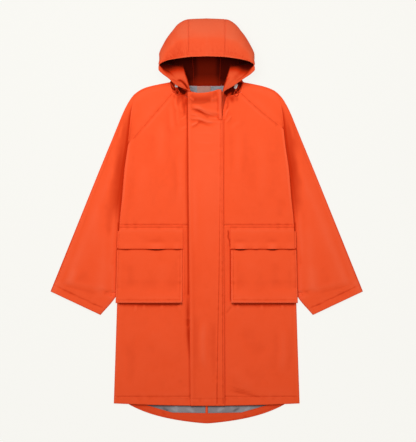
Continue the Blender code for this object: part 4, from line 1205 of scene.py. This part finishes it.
def pocketHeight(word, x, y):
    s = sides[word]["sign"]
    seams = [crease(path, 2, -0.3, 0) for path in pocketSewing(s)]
    seams += [crease(path, 8, 0.45, 0, pucker=12) for path in pocketSewing(s)]
    end = 1 - 0.5 * smoothStep((s * x - 150) / 120) if s < 0 else 0.8 + 0.2 * np.cos((x - 90) / 34)
    foot = pocketLook["footRise"] * smoothStep((pocketLook["footFrom"] - y) / 74) * end
    return pocketLevel(y) + foot + bodyRelief(x, y) + relief(x, y, pocketCreases[word]) + relief(x, y, seams)


def pocket(word):
    s = sides[word]["sign"]
    foot = frontFace + cut["seam"]
    runs = np.array([run for run, _ in pocketLook["side"]])
    rises = np.array([rise for _, rise in pocketLook["side"]])
    step, middle = pocketLook["step"], pocketLook["middle"]
    near = spaced(pocketLook["top"], pocketLook["bottom"] + runs[-1], step, (-92, -97, -260))
    down = np.concatenate([near, pocketLook["bottom"] + runs[-2::-1]])
    fall = np.concatenate([np.ones(len(near)), rises[-2::-1]])
    share = spaced(0, pocketLook["wide"], step, (5, 209)) / pocketLook["wide"]
    grid = []
    for y, rise in zip(down, fall):
        part = (pocketLook["top"] - y) / (pocketLook["top"] - pocketLook["bottom"])
        outer = pocketLook["outerTop"] + (pocketLook["outerLow"] - pocketLook["outerTop"]) * part
        x = np.concatenate([pocketLook["inner"] + runs[:-1],
                            pocketLook["inner"] + runs[-1] + (outer - pocketLook["inner"] - 2 * runs[-1]) * share,
                            outer - runs[-2::-1]])
        edge = np.concatenate([rises[:-1], np.ones(len(share)), rises[-2::-1]]) * rise
        grid.append(np.column_stack([x, np.full(len(x), y), edge]))
    grid = np.array(grid)
    x, y, edge = s * grid[..., 0], grid[..., 1], grid[..., 2]
    under = bodyRelief(x, y)
    top = foot + under + (pocketHeight(word, x, y) - foot - under) * edge
    outer = np.dstack([x, y, top])
    inner = outer.copy()
    inward, fromMiddle = pocketLook["bellows"] * (edge < 0.99), grid[..., 0] - middle
    inner[..., 0] += np.where(fromMiddle < 0, 1, -1) * s * inward * (np.abs(fromMiddle) > pocketLook["flat"])
    inner[..., 1] += inward * (y < pocketLook["flatLow"])
    inner[..., 2] = np.maximum(top - cut["wall"] * edge, foot + under)
    # painted shade along the pocket's sewing, and painted shadow on its mouth under the flap's wavy edge
    marks = [crease(path, 1.5, 0.12, 0) for path in pocketSewing(s)]
    mouths = creases(*[(3.2, 0.38 * high, 0.45, x0 - wide * 1.5, -92, x0, -95, x0 + wide * 1.5, -92)
                       for x0, wide, high in lidWaves[word]])
    mouths += creases((3.2, 0.6, 0, 80, -92.5, 292, -92.5), sign=s)
    clothPiece(f"pocket_{word}_cloth", outer, inner, [f"front_lower_{word}"],
               inside=(np.clip(relief(x, y, mouths), 0, 0.9), 0 * x),
               marks=relief(x, y, marks))
    for path in pocketSewing(s):
        sewOn(f"pocket_{word}", path, lambda x, y: pocketHeight(word, x, y))


lidLook = dict(inner=78.5, bottom=-91.5, pastFold=-0.4, stitch=-20.4)
lidWaves = dict(
    left=[(-266, 16, 0.7), (-166, 27, 2.3), (-98, 12, 0.8)],
    right=[(112, 19, 2.3), (163, 10, 0.5), (217, 17, 2.2),
           (276, 14, 0.5)],
)


def lidHeight(word, x, y):
    s = sides[word]["sign"]
    onFront = frontFace + cut["seam"] + cut["wall"]
    top = onFront + (pocketLevel(y) + 2 * cut["seam"] + cut["wall"] - onFront) * smoothStep((cut["waist"] - y) / 19)
    near = smoothStep((-62 - y) / 30)
    wave = sum(1.5 * high * np.exp(-((x - x0) / wide) ** 2) for x0, wide, high in lidWaves[word]) * near
    seams = creases((1.9, -0.45, 0, 82, lidLook["stitch"], 286, lidLook["stitch"]),
                    (8, 0.5, 0, 80, -24, 288, -24, dict(pucker=13)), sign=s)
    own = relief(x, y, pocketCreases[word]) * smoothStep((-60 - y) / 30)
    return top + bodyRelief(x, y) + wave + own + relief(x, y, seams)


def lid(word):
    s = sides[word]["sign"]
    y = spaced(cut["waist"] - cut["seam"], lidLook["bottom"], 3.4, (-20.4, -84.5))
    share = spaced(0, 210, 3.6, (5,)) / 210
    edge = sideEdge(y) + lidLook["pastFold"] * smoothStep((cut["waist"] - y) / 60)
    x = lidLook["inner"] + (edge[:, None] - lidLook["inner"]) * share
    yy = np.repeat(y[:, None], len(share), axis=1)
    wave = sum(high * 0.4 * np.exp(-((s * x - x0) / wide) ** 2) for x0, wide, high in lidWaves[word])
    yy = yy - wave * smoothStep((-70 - yy) / 20)
    # painted shade along the flap's sewing
    marks = creases((1.5, 0.4, 0, 80, lidLook["stitch"], 290, lidLook["stitch"]), sign=s)
    layer(f"pocket_flap_{word}_cloth", s * x, yy, lidHeight(word, s * x, yy), cut["wall"], [f"pocket_{word}"],
          marks=relief(s * x, yy, marks))
    sewOn(f"pocket_flap_{word}", [(s * x0, lidLook["stitch"]) for x0 in (83, 180, 286)],
          lambda x, y: lidHeight(word, x, y))


for word in sides:
    pocket(word)
    lid(word)
print("pockets made")


hoodLook = dict(spans=10, steps=76, brimStitch=0.28, brimWidth=0.05, brimDepth=0.14, seamWidth=2.6 / 60,
                seamDepth=0.10, broad=0.9, small=0.3, ripple=0.38, pleat=1.6, lip=1.3, lipWidth=0.07,
                droop=5.0, pale=0.75, paleFrom=588.0, paleWidth=55.0)
hoodCreases = dict(                                  # by rib number and place number
    left=creases(
        (0.16, -3.2, 0.35, 2.3, 1.5, 3.2, 1.3, 4.3, 1.1), (0.14, -2.6, 0.35, 2.2, 0.9, 3.1, 0.75, 4.2, 0.5),
        (0.2, 1.4, 0.35, 2, 1.9, 3, 2, 4.1, 2.2), (0.3, 1.2, 0.35, 4.4, 1.5, 5.2, 1.3, 6, 1),
        (0.35, 0.9, 0.35, 9.2, 0.6, 9.6, 1.4, 9.4, 2.2), (0.3, 0.7, 0.35, 11.6, 0.9, 10.6, 1.3, 9.8, 1.3)),
    right=creases(
        (0.18, -1.6, 0.35, 2.3, 1.2, 3.2, 1.4, 4.4, 1), (0.2, 1.3, 0.35, 3.4, 0.6, 4.2, 1, 4.8, 1.6),
        (0.25, -1, 0.35, 5, 1.4, 5.8, 1, 6.2, 0.5), (0.35, 1.1, 0.35, 9, 0.5, 9.3, 1.2, 9.2, 2),
        (0.3, 0.7, 0.35, 11.7, 1.2, 10.8, 1, 9.9, 1.4)),
)


def pleatNoise(u, v):                                # u is the rib number and v the place from the brim back
    return softNoise(u * 26, v * 3, 5.0, 51)


def neckShare(u):                                    # 1 along the gathered neck
    return smoothStep((u - 2.0) / 0.7) * smoothStep((6.9 - u) / 0.4)


def crownSheen(y):                                    # painted sheen on the crown, as negative painted shading
    return -hoodLook["pale"] * smoothStep((y - hoodLook["paleFrom"]) / hoodLook["paleWidth"])


def hoodFaces(word):
    ribs, places = ribPoints.shape[:2]
    rib = np.linspace(0, ribs - 1, (ribs - 1) * hoodLook["spans"] + 1)
    place = np.linspace(0, places - 1, hoodLook["steps"] + 1)
    between = through(np.arange(ribs), ribPoints, rib)
    outer = np.array([through(np.arange(places), one, place) for one in between])
    out = -np.cross(np.gradient(outer, axis=0), np.gradient(outer, axis=1))
    out[-1, :, 0] = 0
    out = unit(out)
    u, v = np.meshgrid(rib, place, indexing="ij")
    seam = ribNumber["seam"]
    calm = smoothStep((5 - v) / 0.8) * smoothStep((u - 1.6) / 0.8)
    bumps = relief(u, v, hoodCreases[word]) if word else 0.0 * u
    seed = 21 if word == "right" else 22
    bumps = bumps + hoodLook["broad"] * softNoise(u, v, 1.1, seed) * smoothStep((u - 5) / 2)
    bumps = bumps + hoodLook["small"] * softNoise(u, v, 0.4, seed + 4)
    seamGroove = np.exp(-((u - seam) / hoodLook["seamWidth"]) ** 2)
    brimGroove = np.exp(-((v - hoodLook["brimStitch"]) / hoodLook["brimWidth"]) ** 2)
    trench = -hoodLook["seamDepth"] * seamGroove - hoodLook["brimDepth"] * brimGroove
    ripple = hoodLook["ripple"] * softNoise(u * 5, v * 3, 0.5, 31) * np.exp(-((v - 0.3) / 0.3) ** 2)
    pleats = hoodLook["pleat"] * pleatNoise(u, v) * smoothStep((v - 2.6) / 0.5) * smoothStep((4.9 - v) / 0.4)
    ripple = ripple + pleats * neckShare(u)
    lip = hoodLook["lip"] * np.exp(-(v / hoodLook["lipWidth"]) ** 2) * smoothStep((u - 5.6) / 0.8)
    bumps = bumps * (1 - np.exp(-((u - seam) / 0.25) ** 2)) * smoothStep((13.4 - u) / 0.9)
    if word == "left":                               # this lapel hangs a little over its cord lock
        outer[..., 1] -= hoodLook["droop"] * np.exp(-((u - 3.5) / 0.55) ** 2) * smoothStep(1.2 - v)
    outer = outer + out * ((bumps + ripple) * calm + (trench + lip) * (u > 3))[..., None]
    outer[..., 2] = np.maximum(outer[..., 2], 0.45)
    inner = outer - out * cut["wall"]
    inner[..., 2] = np.maximum(inner[..., 2], 0.3)
    return outer, inner, *hoodShade(word, u, v, outer, inner), out


brimLine = dict(x=[0, 98, 136, 150, 157, 175], y=[542, 537, 527, 518, 502, 492])
# painted shadow under the brim: the lapels' roll line, and for each side how far below the brim the shadow is full
# and over how far it fades, mm
hoodDark = dict(
    rollHigh=(85, 525), rollLow=(57, 438),
    left=dict(x=[60, 90, 105, 125, 145, 158], thick=[21, 20, 20, 21, 17, 9], fade=42),
    right=dict(x=[60, 92, 106, 120, 136, 150], thick=[22, 21, 22, 25, 23, 11], fade=36),
)
neckMarks = dict(                                    # painted shadow strokes on the gathered neck under the lapels
    left=creases(
        (9, 0.95, 0.15, -96, 444, -84, 430, -66, 420), (2.6, 0.9, 0.15, -120, 466, -113, 453, -106, 444),
        (2.6, 0.9, 0.15, -122, 452, -113, 438, -104, 430), (2.2, 0.7, 0.35, -110, 446, -105, 436, -101, 428),
        (3, 0.6, 0.35, -97, 430, -97, 420, -96, 410)),
    right=creases(
        (9, 0.95, 0.1, 56, 416, 80, 434, 114, 459), (8, 0.75, 0.2, 80, 424, 94, 428, 104, 434),
        (3, 0.85, 0.15, 117, 461, 112, 446, 103, 428), (2.6, 0.7, 0.35, 76, 419, 88, 417, 98, 420)),
)
hoodMarks = dict(                                    # painted shade in creases, by their place on the coat
    left=creases(
        (3.6, 0.85, 0.2, -101, 462, -88, 463, -75, 454, -65, 440, -60, 430),
        (2.5, 0.3, 0.35, -118, 470, -104, 462, -92, 458), (2.2, 0.25, 0.35, -140, 500, -118, 486, -100, 466)),
    right=creases(
        (3, 0.2, 0.35, 60, 447, 66, 462, 78, 478), (2.2, 0.3, 0.35, 152, 500, 130, 484, 108, 468, 88, 458),
        (7, 0.25, 0.35, 84, 462, 100, 478, 122, 492)),
)


def hoodShade(word, u, v, outer, inner):
    # painted shade: the inside is painted dark, most of all at its upper corners; a rolled-out lapel is left as
    # bright as the outside up to the painted shadow under the brim; the outside is painted darker only round the
    # gathered neck
    flip = -1 if word == "left" else 1
    side = hoodDark.get(word, hoodDark["right"])
    x, y = np.abs(inner[..., 0]), inner[..., 1]
    (x0, y0), (x1, y1) = hoodDark["rollHigh"], hoodDark["rollLow"]
    roll = x1 + (x0 - x1) * np.clip((y - y1) / (y0 - y1), -0.3, 1.2)
    below = np.interp(x, brimLine["x"], brimLine["y"]) - y
    cavity = smoothStep((np.interp(x, side["x"], side["thick"]) - below + side["fade"]) / side["fade"])
    cavity = cavity * smoothStep((v - 0.16) / 0.3)
    past = smoothStep((roll + 3 - x) / 8)
    high, corner = smoothStep((y - 440) / 80), smoothStep((x - 22) / 34)
    deep = np.interp(y, [440, 460, 482, 500, 520], [0.78, 0.85, 0.950, 0.94, 0.92])
    deep = deep + 0.20 * corner * (0.45 + 0.55 * high)
    lapel = smoothStep((9.8 - u) / 0.8) * np.maximum(smoothStep((3.3 - v) / 0.5), smoothStep((u - 6.05) / 0.25))
    marks = relief(flip * x, y, hoodMarks.get(word, []))
    inside = lapel * np.clip(np.maximum(cavity, past * deep) + marks, 0, 1) + (1 - lapel) * deep
    inside = inside * smoothStep((v - 0.10) / 0.3)
    under = smoothStep((v - 2.3) / 0.5) * neckShare(u)
    gathers = 0.5 + 0.5 * pleatNoise(u, v)
    strokes = relief(flip * np.abs(outer[..., 0]), outer[..., 1], neckMarks.get(word, []))
    outside = under * np.clip(0.08 + gathers * 0.35 + strokes, 0, 0.97)
    return np.clip(outside, 0, 1), np.clip(inside, 0, 1)


brimColumn = int(round(hoodLook["brimStitch"] / 5 * hoodLook["steps"]))
mirror = np.array([-1, 1, 1])
for word, side in sides.items():
    last = ribNumber["seam"] * hoodLook["spans"] + 1
    outer, inner, dark, darkInside, out = (part[:last].copy() for part in hoodFaces(word))
    outer[-1, :, 0] += 2 * cut["seam"]
    inner[-1, :, 0] += 2 * cut["seam"]
    flip = np.array([side["sign"], 1, 1])
    # painted light: sheen on the crown and the outer flanks painted paler, the sides from 58 mm out painted darker,
    # the left one more; dark and darkInside are the painted shade from hoodShade
    paintedLight = crownSheen(outer[..., 1]) - 0.35 * smoothStep((outer[..., 0] - 128) / 22)
    paintedLight = paintedLight + (0.30 if word == "left" else 0.05) * smoothStep((outer[..., 0] - 58) / 40)
    clothPiece(f"hood_side_{word}_cloth", outer * flip, inner * flip,
               [f"front_upper_{word}", "back_left", "back_right"], hoodCloth, inside=(dark, darkInside), marks=paintedLight)
    sewingLine(f"hood_side_{word}", ((outer[-2] + out[-2] * 0.1)[2:-6]) * flip)
    sewingLine(f"hood_side_{word}", (outer[70:, brimColumn] + out[70:, brimColumn] * 0.2) * flip)
    sewingLine(f"hood_side_{word}", (inner[20:64, brimColumn] - out[20:64, brimColumn] * 0.15) * flip)


def hoodCentre():
    first = ribNumber["seam"] * hoodLook["spans"]
    outer, inner, dark, darkInside, out = (part[first:] for part in hoodFaces(""))
    outer, inner, out = (np.concatenate([part * mirror, part[:-1][::-1]]) for part in (outer, inner, out))
    dark, darkInside = (np.concatenate([part, part[:-1][::-1]]) for part in (dark, darkInside))
    # painted shade of the inside and neck, and painted sheen on the crown
    clothPiece("hood_centre_cloth", outer, inner, ["back_left", "back_right"], hoodCloth,
               inside=(dark, darkInside), marks=crownSheen(outer[..., 1]))
    sewingLine("hood_centre", outer[:, brimColumn] + out[:, brimColumn] * 0.2)
    for k in (1, -2):
        sewingLine("hood_centre", (outer[k] + out[k] * 0.1)[2:-6])


hoodCentre()
print("hood made")


bandLook = dict(x=(38.6, 50.0), y=(333.0, 433.0), rise=4.2)


def chinBand():
    share = np.linspace(0, 1, 16)
    y = np.linspace(bandLook["y"][0], bandLook["y"][1], 64)
    x = bandLook["x"][0] + (bandLook["x"][1] - bandLook["x"][0]) * share
    xx, yy = np.meshgrid(x, y)
    xx = xx + 1.2 * smoothStep((380 - yy) / 60) - 1.0 * smoothStep((yy - 400) / 30)
    base = lookup(throat, "y", "top", yy) - 0.6
    arch = np.sqrt(np.clip(1 - (2 * share - 1) ** 2, 0, 1))[None]
    ends = smoothStep((yy - bandLook["y"][0]) / 9)
    top = base + bandLook["rise"] * arch ** 0.8 * (0.25 + 0.75 * ends) + 0.4 * softNoise(yy, xx, 14, 33)
    outer = np.dstack([xx, yy, top])
    # painted shade, a little, all over the band
    clothPiece("chin_band", outer, outer - [0, 0, 1.2], ["hood_side_right"], marks=0.2, node="")


chinBand()

for name, row in sheets.items():
    where = name.removesuffix("_cloth")
    stitches = [sewingPiece(f"{where}_stitches", sewn[where])] if where in sewn else []
    row.pop("piece")
print("sewing made:", sum(len(lines) for lines in sewn.values()), "lines")


floorLook = dict(size=12.0, drop=0.0004, colour=(0.060, 0.0598, 0.057, 1),
                 glow=(0.939, 0.930, 0.887, 1), strength=0.94)


def floor():
    mesh = bpy.data.meshes.new("floor")
    half = floorLook["size"] / 2
    corners = [(-half, -half, 0), (half, -half, 0), (half, half, 0), (-half, half, 0)]
    mesh.from_pydata(corners, [], [(0, 1, 2, 3)])
    made = placed("floor", mesh)
    made.location.z = -floorLook["drop"]
    look = Finish("floor", Base_Color=floorLook["colour"], Roughness=1.0, Specular_IOR_Level=0.0,
                  Emission_Color=floorLook["glow"], Emission_Strength=floorLook["strength"])
    mesh.materials.append(look.material)


lights = [
    dict(name="key", place=(-0.25, 0.86, 1.75), aim=(0.0, 0.1, 0.0), size=0.9, power=27.7),
    dict(name="fill", place=(0.9, 0.2, 2.6), aim=(0.0, 0.0, 0.0), size=2.0, power=7.0),
]


worldLook = dict(colour=(1.0, 0.99, 0.975, 1), strength=0.36)


def lighting():
    for row in lights:
        data = bpy.data.lights.new(row["name"], "AREA")
        data.size = row["size"]
        data.energy = row["power"]
        lamp = placed(row["name"], data)
        lamp.location = row["place"]
        lamp.rotation_euler = (Vector(row["aim"]) - Vector(row["place"])).to_track_quat("-Z", "Y").to_euler()
    world = bpy.data.worlds.new("studio")
    world.use_nodes = True
    world.node_tree.nodes["Background"].inputs["Color"].default_value = worldLook["colour"]
    world.node_tree.nodes["Background"].inputs["Strength"].default_value = worldLook["strength"]
    bpy.context.scene.world = world


floor()
lighting()
print("floor and light set")
